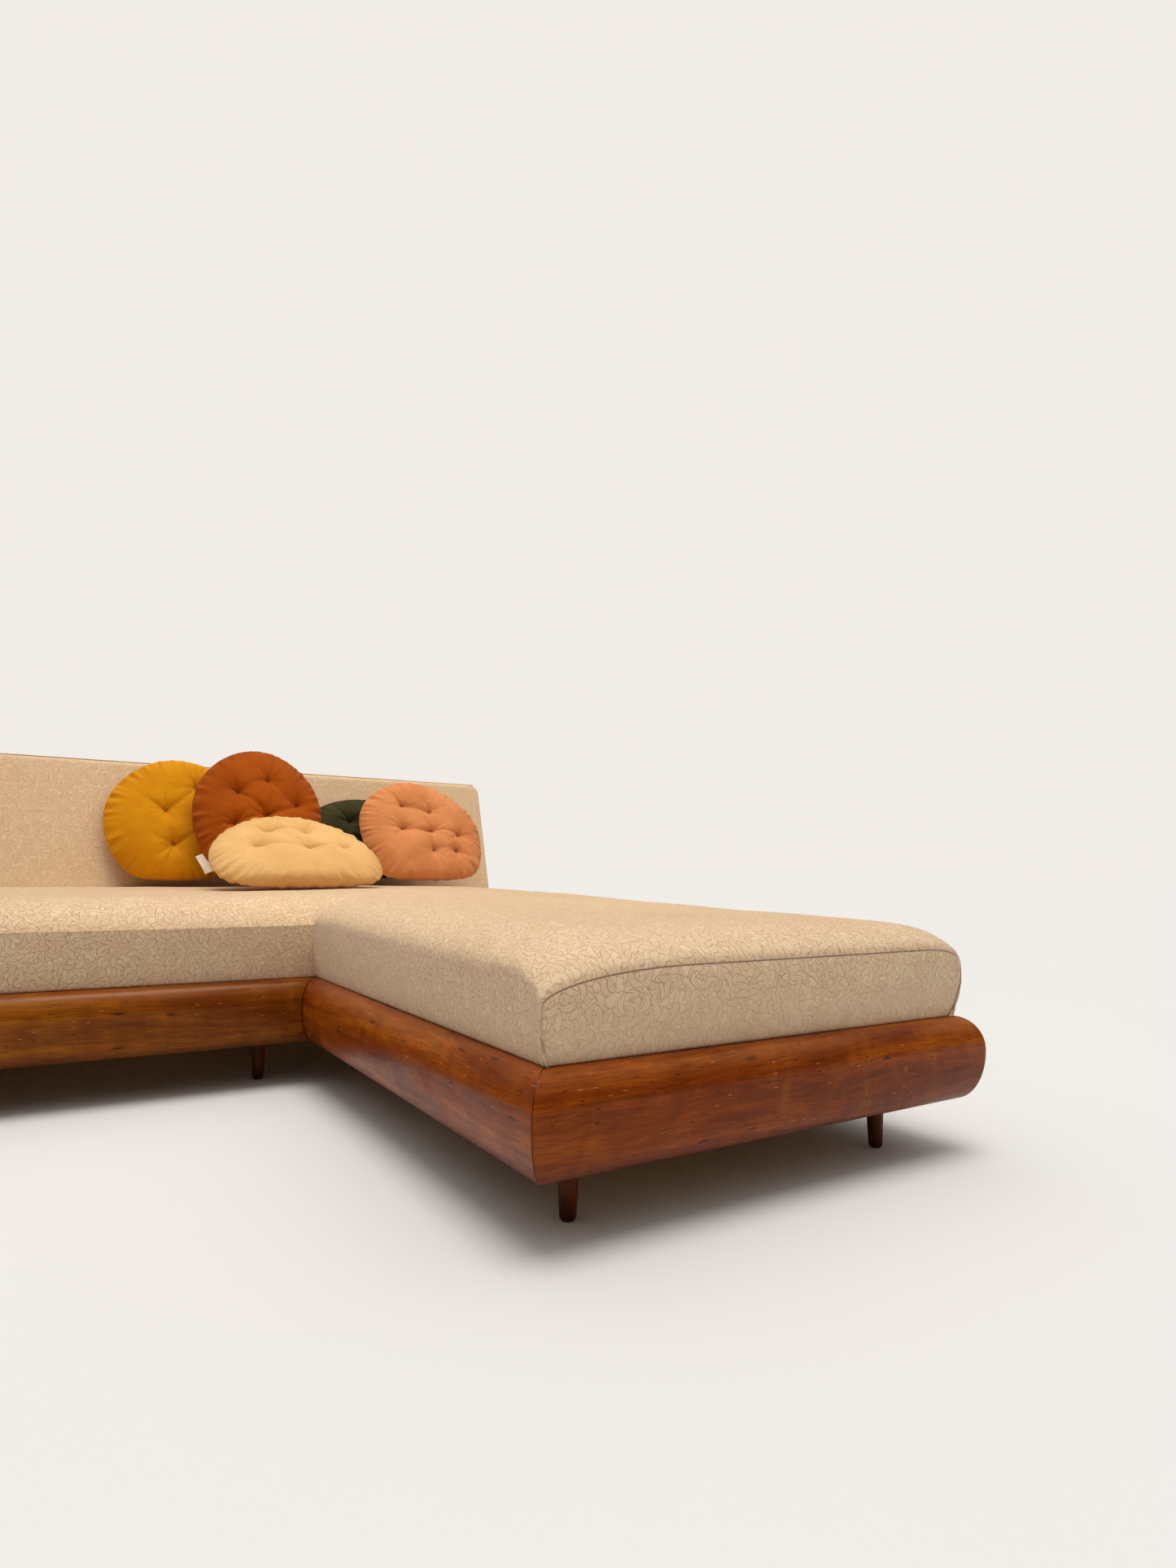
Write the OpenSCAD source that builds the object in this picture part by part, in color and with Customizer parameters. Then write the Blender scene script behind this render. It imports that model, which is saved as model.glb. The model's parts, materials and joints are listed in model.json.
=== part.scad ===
// L-shaped platform daybed with a chaise: a mitred hardwood rail frame on short
// tapered legs, plywood decks, an L-shaped mattress, a raked upholstered back
// and five loose round tufted cushions.  Millimetres, +Z up, +X to the right
// along the front of the chaise, +Y to the back.  The origin is on the floor
// under the middle of the whole piece.

/* [Overall] */
// Length of the whole piece along its back
total_l = 2500; // [2200:10:3000]
// Width of the chaise across its two rails
chaise_w = 895; // [800:5:1000]
// How far the chaise reaches out in front of the seat's front rail
chaise_out = 1044; // [800:4:1200]
// Depth of the seat from its front rail's face to the rear rail's face
seat_d = 966; // [900:2:1050]

/* [Rails] */
// Height of the underside of the rails
rail_bottom = 92; // [80:1:120]
// Height of a rail
rail_h = 139; // [120:1:150]
// Thickness of a rail
rail_t = 60; // [50:1:70]

/* [Legs] */
// Diameter of a leg at its top
leg_top_d = 32; // [28:1:40]
// Diameter of a leg at its foot
leg_foot_d = 24; // [20:1:28]
// Distance of a leg's centre from the rail's outer face
leg_inset = 132; // [110:1:150]

/* [Mattress] */
// Distance of the mattress's foot from the rail's outer face
mat_inset = 38; // [30:1:50]
// Height of the mattress at the seam over the chaise's front
mat_front_top = 346; // [330:1:360]
// Height of the seat surface at the back
seat_top = 417; // [400:1:425]
// Thickness of the mattress cover
cover_t = 3; // [2:0.5:4]

/* [Back] */
// Height of the top of the back
back_top = 802; // [760:1:850]
// Rake of the back from vertical, in degrees
rake = 17.4; // [10:0.1:22]
// Thickness of the back across its faces
back_t = 90; // [80:1:110]
// Inset of the back's ends from the rails' outer faces
back_end_inset = 5; // [3:1:20]

/* [Scatter cushions] */
// Thickness of a scatter cushion at its crown
cushion_t = 92; // [80:1:100]
// Diameter of a tufting thread
thread_d = 2.4; // [1.5:0.1:3]

/* [Hidden] */

// Plan of the rails: the chaise's front left corner is (0, 0) here.
x_l = chaise_w - total_l;               // face of the left end rail
x_r = chaise_w;                         // face of the chaise's outer rail
y_s = chaise_out;                       // face of the seat's front rail
y_r = chaise_out + seat_d;              // face of the rear rail
rail_top = rail_bottom + rail_h;
deck_t = 15;
deck_z = rail_top - deck_t;             // underside of the decks
cleat_w = 25;
cleat_h = 30;
bearer_z = rail_bottom + 8;             // underside of the bearers
plate_t = 3;
glide_h = 2;

// The back's front face passes through (back_y0, rail_top) in the Y-Z plane.
slope = tan(rake);
back_y0 = y_r - 122;
function face_y(z) = back_y0 + slope * (z - rail_top);
back_base = rail_top + 1;
back_r = 16;                            // rounding of the back's top edges
// rearmost point of the rounded top rear edge
rear_c_z = back_top - back_r;
rear_c_y = face_y(rear_c_z) + back_t / cos(rake) - back_r / cos(rake);
y_max = rear_c_y + back_r;

// Shift that puts the origin under the middle of the piece.
ox = -(x_l + x_r) / 2;
oy = -y_max / 2;
module place() { translate([ox, oy, 0]) children(); }

wood = "sienna";
ply = "burlywood";
steel = "silver";
fabric = "wheat";
foam = "ivory";

// ---------- rails ----------
// Half-round outer face: two quarter ellipses, the fuller one at the bottom.
crest = rail_bottom + 86;
steps = 8;
function rail_profile() = concat(
    [[rail_t, rail_bottom]],
    [for (i = [0 : steps]) let (a = 90 - 90 * i / steps) [37 - 37 * cos(a), crest - (crest - rail_bottom) * sin(a)]],
    [for (i = [1 : steps]) let (a = 90 * i / steps) [36 - 36 * cos(a), crest + (rail_top - crest) * sin(a)]],
    [[rail_t, rail_top]]);

// Rail along +X from x0 to x1 with its outer face on y = 0, facing -Y.
module rail_stock(x0, x1) {
    translate([x0, 0, 0]) rotate([90, 0, 90]) linear_extrude(height = x1 - x0) polygon(rail_profile());
}
module mitre(points) { translate([0, 0, rail_bottom - 5]) linear_extrude(height = rail_h + 10) polygon(points); }

module spline_slots() { for (s = spline_at) spline(s, 0.1); }

module chaise_front_rail() color(wood) place() difference() {
    intersection() {
        rail_stock(0, x_r);
        mitre([[0, 0], [x_r, 0], [x_r - rail_t, rail_t], [rail_t, rail_t]]);
    }
    spline_slots();
}
module chaise_inner_rail() color(wood) place() difference() {
    intersection() {
        mirror([1, 0, 0]) rotate([0, 0, 90]) rail_stock(-5, y_s + rail_t + 5);
        mitre([[0, 0], [rail_t, rail_t], [rail_t, y_s + rail_t], [0, y_s]]);
    }
    spline_slots();
}
module seat_front_rail() color(wood) place() difference() {
    intersection() {
        translate([0, y_s, 0]) rail_stock(x_l - 5, rail_t + 5);
        mitre([[x_l, y_s], [0, y_s], [rail_t, y_s + rail_t], [x_l + rail_t, y_s + rail_t]]);
    }
    spline_slots();
}
module seat_end_rail() color(wood) place() difference() {
    intersection() {
        translate([x_l, 0, 0]) mirror([1, 0, 0]) rotate([0, 0, 90]) rail_stock(y_s - 5, y_r + 5);
        mitre([[x_l, y_s], [x_l + rail_t, y_s + rail_t], [x_l + rail_t, y_r - rail_t], [x_l, y_r]]);
    }
    spline_slots();
}
module rear_rail() color(wood) place() difference() {
    intersection() {
        translate([0, y_r, 0]) mirror([0, 1, 0]) rail_stock(x_l - 5, x_r + 5);
        mitre([[x_l, y_r], [x_l + rail_t, y_r - rail_t], [x_r - rail_t, y_r - rail_t], [x_r, y_r]]);
    }
    spline_slots();
    for (x = bracket_x, z = bolt_z) translate([x, y_r - rail_t + 46, z]) rotate([90, 0, 0]) cylinder(r = 4.1, h = 46.5, $fn = 32);
}
module chaise_outer_rail() color(wood) place() difference() {
    intersection() {
        translate([x_r, 0, 0]) rotate([0, 0, 90]) rail_stock(-5, y_r + 5);
        mitre([[x_r, 0], [x_r, y_r], [x_r - rail_t, y_r - rail_t], [x_r - rail_t, rail_t]]);
    }
    spline_slots();
}

// Hardwood tongues let into the mitres: [corner x, corner y, direction of the joint line].
spline_at = [[0, 0, 45], [x_r, 0, 135], [0, y_s, 45], [x_l, y_s, 45], [x_l, y_r, -45], [x_r, y_r, -135]];
module spline(s, c) {
    translate([s[0], s[1], 0]) rotate([0, 0, s[2]])
        translate([38 - c, -12 - c, rail_bottom + 20 - c]) cube([40 + 2 * c, 24 + 2 * c, 6 + 2 * c]);
}
module mitre_splines() color("peru") place() for (s = spline_at) spline(s, 0);

// ---------- structure under the decks ----------
in_l = x_l + rail_t;                    // inner faces of the rails
in_r = x_r - rail_t;
in_f = rail_t;
in_s = y_s + rail_t;
in_b = y_r - rail_t;

module block(x, y, dx, dy) { translate([x, y, bearer_z]) cube([dx, dy, deck_z - cleat_h - bearer_z]); }
module corner_blocks() color("tan") place() {
    block(in_f, in_f, 45, 30);
    block(in_r - 45, in_f, 45, 30);
    block(in_l, in_s, 30, 45);
    block(in_l, in_b - 45, 30, 45);
    block(in_r - 30, in_b - 45, 30, 45);
}

module cleat(x, y, dx, dy) { translate([x, y, deck_z - cleat_h]) cube([dx, dy, cleat_h]); }
module cleats() {
    cleat(in_f, in_f, in_r - in_f, cleat_w);
    cleat(in_f, in_f + cleat_w + 1, cleat_w, 905);
    cleat(in_r - cleat_w, in_f + cleat_w + 1, cleat_w, 905);
    cleat(in_l, in_s, 60 - in_l, cleat_w);
    cleat(in_l, in_s + cleat_w + 1, cleat_w, in_b - in_s - 2 * cleat_w - 2);
    cleat(in_r - cleat_w, in_s + cleat_w + 1, cleat_w, in_b - in_s - 2 * cleat_w - 2);
    cleat(in_l, in_b - cleat_w, in_r - in_l, cleat_w);
}
module deck_cleats() color("tan") place() difference() {
    cleats();
    brackets(0.3);
}

// Bearers that carry the legs.  Each is [x, y, length along X, length along Y].
bear_w = 80;
leg_bearer_at = [
    [in_f, leg_inset - bear_w / 2 + 2, in_r - in_f, bear_w],
    [x_l + leg_inset - bear_w / 2, in_s, bear_w, in_b - in_s],
    [-58 - bear_w / 2, in_s, bear_w, in_b - in_s],
    [x_r - leg_inset - bear_w / 2, in_s + 20, bear_w, in_b - in_s - 20]];
leg_at = [
    [leg_inset, leg_inset], [x_r - leg_inset, leg_inset],
    [-58, y_s + leg_inset], [x_l + leg_inset, y_s + leg_inset], [x_r - leg_inset, y_s + leg_inset],
    [-58, y_r - leg_inset], [x_l + leg_inset, y_r - leg_inset], [x_r - leg_inset, y_r - leg_inset]];
module leg_bearers() color("tan") place() difference() {
    for (b = leg_bearer_at) translate([b[0], b[1], bearer_z]) cube([b[2], b[3], deck_z - bearer_z]);
    cleats();
    brackets(0.3);
    for (p = leg_at) translate([p[0], p[1], bearer_z - 1]) cylinder(r = 4.1, h = 46, $fn = 32);
}
// Bearers that only carry the decks.
deck_bearer_at = [
    [in_f, 600, in_r - in_f, 45],
    [in_f, in_s - 25, in_r - in_f, 45],
    [-790, in_s, 45, in_b - in_s]];
module deck_bearers() color("tan") place() difference() {
    for (b = deck_bearer_at) translate([b[0], b[1], bearer_z + 30]) cube([b[2], b[3], deck_z - bearer_z - 30]);
    cleats();
    brackets(0.3);
}

module screw_holes(pts, r) { for (p = pts) translate([p[0], p[1], deck_z - 1]) cylinder(r = r, h = deck_t + 2, $fn = 24); }
seat_screw_at = concat(
    [for (i = [0 : 5]) [in_l + 60 + i * 290, in_s + 12.5]],
    [for (i = [0 : 7]) [in_l + 60 + i * 322, in_b - 12.5 - 6]]);
chaise_screw_at = concat(
    [for (i = [0 : 3]) [in_f + 12.5, 160 + i * 245]],
    [for (i = [0 : 3]) [in_r - 12.5, 160 + i * 245]],
    [for (i = [0 : 2]) [in_f + 130 + i * 250, in_f + 12.5]]);
vent_r = 12;
module seat_deck() color(ply) place() difference() {
    translate([in_l + 1, in_s + 1, deck_z]) cube([in_r - in_l - 2, in_b - in_s - 8, deck_t]);
    screw_holes(seat_screw_at, 2.6);
    for (i = [0 : 5]) translate([in_l + 230 + i * 385, (in_s + in_b) / 2, deck_z - 1]) cylinder(r = vent_r, h = deck_t + 2, $fn = 32);
}
module chaise_deck() color(ply) place() difference() {
    translate([in_f + 1, in_f + 1, deck_z]) cube([in_r - in_f - 2, in_s - in_f - 2, deck_t]);
    screw_holes(chaise_screw_at, 2.6);
    for (i = [0 : 1], j = [0 : 1]) translate([in_f + 250 + i * 275, 330 + j * 480, deck_z - 1]) cylinder(r = vent_r, h = deck_t + 2, $fn = 32);
}
module deck_screws() color(steel) place()
    for (p = concat(seat_screw_at, chaise_screw_at)) translate([p[0], p[1], deck_z - 20]) cylinder(r = 2.4, h = 34.5, $fn = 24);

// ---------- legs ----------
leg_top = bearer_z - plate_t;
module legs() color("saddlebrown") place() for (p = leg_at) translate([p[0], p[1], 0]) difference() {
    union() {
        translate([0, 0, glide_h]) cylinder(r1 = leg_foot_d / 2 - 2, r2 = leg_foot_d / 2, h = 3, $fn = 48);
        translate([0, 0, glide_h + 3]) cylinder(r1 = leg_foot_d / 2, r2 = leg_top_d / 2, h = leg_top - glide_h - 3, $fn = 48);
    }
    translate([0, 0, leg_top - 30]) cylinder(r = 4.1, h = 31, $fn = 32);
    translate([0, 0, glide_h - 1]) cylinder(r = 1.6, h = 9, $fn = 24);
}
module leg_plates() color(steel) place() for (p = leg_at) translate([p[0], p[1], leg_top]) difference() {
    translate([-27, -27, 0]) cube([54, 54, plate_t]);
    translate([0, 0, -1]) cylinder(r = 4.2, h = plate_t + 2, $fn = 32);
    for (sx = [-1, 1], sy = [-1, 1]) translate([sx * 20, sy * 20, -1]) cylinder(r = 2.6, h = plate_t + 2, $fn = 24);
}
module hanger_bolts() color(steel) place() for (p = leg_at) translate([p[0], p[1], leg_top - 29]) cylinder(r = 4, h = 29 + plate_t + 44, $fn = 32);
module leg_screws() color(steel) place() for (p = leg_at, sx = [-1, 1], sy = [-1, 1]) translate([p[0] + sx * 20, p[1] + sy * 20, leg_top]) {
    translate([0, 0, -2.2]) cylinder(r = 4.2, h = 2.2, $fn = 24);
    translate([0, 0, -0.1]) cylinder(r = 2.4, h = 28.1, $fn = 24);
}
module foot_glides() color("dimgray") place() for (p = leg_at) translate([p[0], p[1], 0]) {
    cylinder(r = leg_foot_d / 2 - 3, h = glide_h, $fn = 48);
    translate([0, 0, glide_h - 0.1]) cylinder(r = 1.5, h = 7, $fn = 24);
}

// ---------- back ----------
// Y-Z outline of the raked back, drawn in by d all round, with rounded top edges.
function back_outline(d, r) = let (
        f = d / cos(rake), zt = back_top - d, zb = back_base + d, w = back_t / cos(rake) - 2 * f,
        zc = zt - r, yf = face_y(zc) + f + r / cos(rake), yr = face_y(zc) + f + w - r / cos(rake))
    concat(
        [[face_y(zb) + f, zb]],
        [for (i = [0 : 4]) let (a = 180 - rake - (90 - rake) * i / 4) [yf + r * cos(a), zc + r * sin(a)]],
        [for (i = [0 : 6]) let (a = 90 - (90 + rake) * i / 6) [yr + r * cos(a), zc + r * sin(a)]],
        [[face_y(zb) + f + w, zb]]);
module back_slab(d, x0, x1, r) { translate([x0, 0, 0]) rotate([90, 0, 90]) linear_extrude(height = x1 - x0) polygon(back_outline(d, r)); }
bx0 = x_l + back_end_inset;
bx1 = x_r - back_end_inset;
// Layer of the back between two distances behind its front face, inside the cover.
module back_layer(n0, n1, x0, x1, z0, z1) {
    translate([x0, face_y(back_base), back_base]) rotate([-rake, 0, 0]) translate([0, n0, z0]) cube([x1 - x0, n1 - n0, z1 - z0]);
}
slab_l = (back_top - back_base) / cos(rake);   // length up the slope
bc = 2.5;                                      // cover thickness on the back
module back_cover() color(fabric) place() difference() {
    back_slab(0, bx0, bx1, back_r);
    back_slab(bc, bx0 + bc, bx1 - bc, back_r - bc);
    brackets(0.3);
}
lam = bc + 42;                                 // front of the timber frame
fram = lam + 36;                               // back of the timber frame
module inside_back() { intersection() { children(); back_slab(bc + 0.2, bx0 + bc + 0.2, bx1 - bc - 0.2, back_r - bc); } }
module back_foam() color(foam) place() inside_back() back_layer(0, lam - 0.1, bx0, bx1, -30, slab_l + 40);
module back_board() color(ply) place() difference() {
    inside_back() back_layer(fram + 0.1, back_t, bx0, bx1, -40, slab_l + 40);
    brackets(0.3);
}
back_post_at = [for (i = [0 : 5]) bx0 + 40 + i * (bx1 - bx0 - 80 - 60) / 5];
module back_frame() color("tan") place() difference() {
    inside_back() union() {
        back_layer(lam, fram, bx0, bx1, -30, 75);
        back_layer(lam, fram, bx0, bx1, slab_l - 80, slab_l + 40);
        for (x = back_post_at) back_layer(lam, fram, x, x + 60, 60, slab_l - 60);
    }
    brackets(0.3);
}
// Cranked steel straps: the lower leg is bolted to the rear rail, the upper one is let into the back's frame.
bracket_x = [x_l + 300, x_l + 960, x_l + 1700, x_l + 2200];
bolt_z = [rail_bottom + 40, rail_bottom + 85];
function bracket_profile(c) = let (z0 = rail_bottom + 22 - c, l = 190 + c, dy = l * sin(rake), dz = l * cos(rake), y0 = in_b - 5 - c, y1 = in_b + c) [
    [y0, z0], [y1, z0], [y1, rail_top], [y1 + dy, rail_top + dz], [y0 + dy, rail_top + dz], [y0, rail_top]];
module brackets(c) {
    for (x = bracket_x) translate([x - 20 - c, 0, 0]) rotate([90, 0, 90]) linear_extrude(height = 40 + 2 * c) polygon(bracket_profile(c));
}
module back_brackets() color(steel) place() difference() {
    brackets(0);
    for (x = bracket_x, z = bolt_z) translate([x, in_b + 5, z]) rotate([90, 0, 0]) cylinder(r = 4.2, h = 15, $fn = 32);
}
module back_bolts() color(steel) place() for (x = bracket_x, z = bolt_z) translate([x, in_b + 45, z]) rotate([90, 0, 0]) {
    cylinder(r = 4, h = 50, $fn = 32);
    translate([0, 0, 50]) cylinder(r = 6.5, h = 5, $fn = 6);
}

// ---------- mattress ----------
// Cross-section of the chaise: z over x, drawn in by d, with its top at zt and corner radius r.
function chaise_section(d, zt, r, bulge) = let (
        x0 = mat_inset + d, x1 = x_r - mat_inset - d, zb = rail_top + 0.5 + d, z1 = zt - d)
    concat(
        [[x0, zb]],
        [[x0 - bulge * 0.7, zb + 25], [x0 - bulge, z1 - r]],
        [for (i = [1 : 4]) let (a = 90 * i / 4) [x0 - bulge + r - r * cos(a), z1 - r + r * sin(a)]],
        [for (i = [0 : 4]) let (a = 90 - 90 * i / 4) [x1 + bulge - r + r * cos(a), z1 - r + r * sin(a)]],
        [[x1 + bulge * 0.7, zb + 25]],
        [[x1, zb]]);
module chaise_slice(y, d, zt, r, bulge) {
    translate([0, y + 0.1, 0]) rotate([90, 0, 0]) linear_extrude(height = 0.1) polygon(chaise_section(d, zt, r, bulge));
}
module chaise_form(d) {
    y0 = mat_inset - 12 + d;
    hull() {
        translate([0, 12, 0]) chaise_slice(y0, d, rail_top + 40, 20, 0);
        chaise_slice(y0, d, mat_front_top, 40, 12);
        chaise_slice(y0 + 75, d, mat_front_top + 34, 60, 13);
        chaise_slice(in_s + 80, d, seat_top - 7, 60, 13);
    }
}
function seat_section(d) = let (yf = y_s + mat_inset + d, zb = rail_top + 0.5 + d, zt = seat_top - d, f = 1.5 + d / cos(rake)) [
    [yf, zb], [yf - 9, zb + 28], [yf - 13, zb + 66], [yf - 9, zb + 106], [yf + 6, zb + 136 - d], [yf + 34, zt - 25],
    [yf + 80, zt - 12], [yf + 220, zt - 6], [face_y(zt) - f, zt], [face_y(zb) - f, zb]];
module seat_form(d) {
    translate([x_l + mat_inset - 8 + d, 0, 0]) rotate([90, 0, 90])
        linear_extrude(height = total_l - 2 * (mat_inset - 8 + d)) polygon(seat_section(d));
}
module mattress_cover() color(fabric) place() difference() {
    union() { chaise_form(0); seat_form(0); }
    union() { chaise_form(cover_t); seat_form(cover_t); }
}
module seat_core() color(foam) place() seat_form(cover_t + 0.2);
module chaise_core() color(foam) place() difference() {
    chaise_form(cover_t + 0.2);
    seat_form(cover_t + 0.1);
    translate([-50, in_s + 60, 0]) cube([1200, 400, 600]);
}

// ---------- scatter cushions ----------
// [centre x, y, z, tilt from vertical, turn about vertical, roll in its plane, half width, half height, flat base]
mustard_at = [-158, 1953, 610, 17.4, 0, 0, 197, 200, 0.94];
rust_at    = [  54, 1852, 631, 17.4, 0, 0, 190, 214, 0.97];
green_at   = [ 400, 1912, 566, 17.4, 0, 0, 208, 148, 0.90];
peach_at   = [ 564, 1807, 594, 25.0, 0, 0, 209, 186, 0.92];
cream_at   = [ 104, 1592, 522, 60.0, 0, 0, 232, 185, 0.97];
// Layers of the form: [height over half thickness, size of the outline there]
layers = [[0, 1], [0.42, 0.965], [0.74, 0.86], [0.93, 0.70], [1, 0.5]];
function cushion_outline(a, b, flat) = [for (i = [0 : 27]) let (t = 360 * i / 28) [a * cos(t), max(b * sin(t), -b * flat)]];
module cushion_place(p) { translate([p[0], p[1], p[2]]) rotate([0, 0, p[4]]) rotate([90 - p[3], 0, 0]) rotate([0, 0, p[5]]) children(); }
module cushion_form(p, d) {
    h = cushion_t / 2 - d;
    hull() for (l = layers, s = [-1, 1])
        translate([0, 0, s * l[0] * h]) linear_extrude(height = 0.1, center = true)
            polygon(cushion_outline((p[6] - d) * l[1], (p[7] - d) * l[1], p[8]));
}
// Seven tufts: one in the middle and six round it.
function tuft_at(p) = concat([[0, 0]], [for (i = [0 : 5]) [p[6] * 0.44 * cos(60 * i), p[7] * 0.44 * sin(60 * i)]]);
module tufts(p) { cushion_place(p) for (t = tuft_at(p)) translate([t[0], t[1], 0]) cylinder(d = thread_d, h = cushion_t - 4, center = true, $fn = 16); }
module shell(p) { cushion_place(p) difference() { cushion_form(p, 0); cushion_form(p, 1.5); } }
module filling(p) { cushion_place(p) cushion_form(p, 1.7); }

module mustard_cover() color("goldenrod") place() shell(mustard_at);
module mustard_filling() color(foam) place() filling(mustard_at);
module mustard_tufts() color("darkgoldenrod") place() tufts(mustard_at);
module rust_cover() color("chocolate") place() shell(rust_at);
module rust_filling() color(foam) place() filling(rust_at);
module rust_tufts() color("saddlebrown") place() tufts(rust_at);
// Blank care label sewn into the seam of the rust cushion.
module rust_label() color("white") place() cushion_place(rust_at) difference() {
    translate([-150, -151, 0]) rotate([0, 0, 26]) translate([-15, -32, -0.5]) cube([30, 64, 1]);
    cushion_form(rust_at, 1.55);
}
module green_cover() color("darkslategray") place() shell(green_at);
module green_filling() color(foam) place() filling(green_at);
module green_tufts() color("black") place() tufts(green_at);
module peach_cover() color("darksalmon") place() shell(peach_at);
module peach_filling() color(foam) place() filling(peach_at);
module peach_tufts() color("peru") place() tufts(peach_at);
module cream_cover() color("navajowhite") place() shell(cream_at);
module cream_filling() color(foam) place() filling(cream_at);
module cream_tufts() color("burlywood") place() tufts(cream_at);

chaise_front_rail();
chaise_inner_rail();
seat_front_rail();
seat_end_rail();
rear_rail();
chaise_outer_rail();
mitre_splines();
corner_blocks();
deck_cleats();
leg_bearers();
deck_bearers();
seat_deck();
chaise_deck();
deck_screws();
legs();
leg_plates();
hanger_bolts();
leg_screws();
foot_glides();
back_frame();
back_board();
back_foam();
back_cover();
back_brackets();
back_bolts();
mattress_cover();
chaise_core();
seat_core();
mustard_cover();
mustard_filling();
mustard_tufts();
rust_cover();
rust_filling();
rust_tufts();
rust_label();
green_cover();
green_filling();
green_tufts();
peach_cover();
peach_filling();
peach_tufts();
cream_cover();
cream_filling();
cream_tufts();
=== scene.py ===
import json
import math
import bpy
import numpy as np
from mathutils import Matrix, Vector, noise

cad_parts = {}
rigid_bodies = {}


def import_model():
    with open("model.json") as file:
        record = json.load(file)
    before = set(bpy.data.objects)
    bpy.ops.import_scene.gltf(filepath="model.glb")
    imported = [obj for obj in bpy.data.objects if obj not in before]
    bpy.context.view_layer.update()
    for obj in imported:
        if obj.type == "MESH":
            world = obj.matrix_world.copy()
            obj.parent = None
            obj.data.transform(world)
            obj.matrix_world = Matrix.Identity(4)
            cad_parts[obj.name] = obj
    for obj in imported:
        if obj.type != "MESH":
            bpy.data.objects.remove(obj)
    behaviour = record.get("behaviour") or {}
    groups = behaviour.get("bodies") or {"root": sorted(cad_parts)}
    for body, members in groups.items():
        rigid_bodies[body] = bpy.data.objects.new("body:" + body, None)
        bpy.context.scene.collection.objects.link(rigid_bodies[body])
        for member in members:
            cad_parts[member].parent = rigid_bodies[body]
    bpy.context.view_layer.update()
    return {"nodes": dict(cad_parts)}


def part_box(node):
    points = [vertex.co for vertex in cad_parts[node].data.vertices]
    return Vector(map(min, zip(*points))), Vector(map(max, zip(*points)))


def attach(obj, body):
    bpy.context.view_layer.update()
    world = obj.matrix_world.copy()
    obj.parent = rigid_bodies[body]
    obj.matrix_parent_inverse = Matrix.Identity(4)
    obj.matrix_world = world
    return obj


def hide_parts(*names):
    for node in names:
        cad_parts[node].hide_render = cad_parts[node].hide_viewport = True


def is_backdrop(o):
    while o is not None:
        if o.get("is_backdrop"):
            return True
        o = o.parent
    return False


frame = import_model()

scene = bpy.context.scene

# ---------------------------------------------------------------- frame
# The outer front-left corner of the chaise's front rail is the layout origin; layout lengths are millimetres.
_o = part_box("chaise_front_rail")[0]
OX, OY = float(_o.x) * 1000.0, float(_o.y) * 1000.0
X_L, X_R, Y_S, Y_R = -1605.0, 895.0, 1044.0, 2010.0
RAIL_Z0, RAIL_Z1, RAIL_T, CREST = 92.0, 231.0, 60.0, 178.0
RAKE = math.radians(17.4)
BACK_Y0, BACK_TOP, BACK_T = 1888.0, 802.0, 90.0


def cad(p):
    """Layout millimetres to metres in the row frame; p is N x 3."""
    p = np.asarray(p, float)
    return (p + np.array([OX, OY, 0.0])) / 1000.0


def smooth(a, b, x):
    t = np.clip((x - a) / (b - a), 0.0, 1.0)
    return t * t * (3 - 2 * t)


def fbm(p, scale, octaves=3, seed=0.0):
    """Smooth noise, one number for each row of p (millimetres)."""
    out = np.empty(len(p))
    for i, (x, y, z) in enumerate(p):
        out[i] = noise.fractal(Vector((x / scale + seed, y / scale - seed, z / scale + 2 * seed)), 1.0, 2.0, octaves)
    return out


def mesh_object(name, verts, faces, uvs=None, smooth_shade=True, attrs=None):
    """A mesh from metres; uvs is one (u, v) for each corner, attrs holds one number for each vertex."""
    me = bpy.data.meshes.new(name)
    me.from_pydata([tuple(v) for v in verts], [], [tuple(f) for f in faces])
    if uvs is not None:
        lay = me.uv_layers.new(name="UVMap")
        lay.data.foreach_set("uv", np.asarray(uvs, np.float32).ravel())
    for k, v in (attrs or {}).items():
        a = me.attributes.new(k, "FLOAT", "POINT")
        a.data.foreach_set("value", np.asarray(v, np.float32))
    me.update()
    if smooth_shade:
        me.polygons.foreach_set("use_smooth", [True] * len(me.polygons))
    o = bpy.data.objects.new(name, me)
    scene.collection.objects.link(o)
    return o


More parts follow.
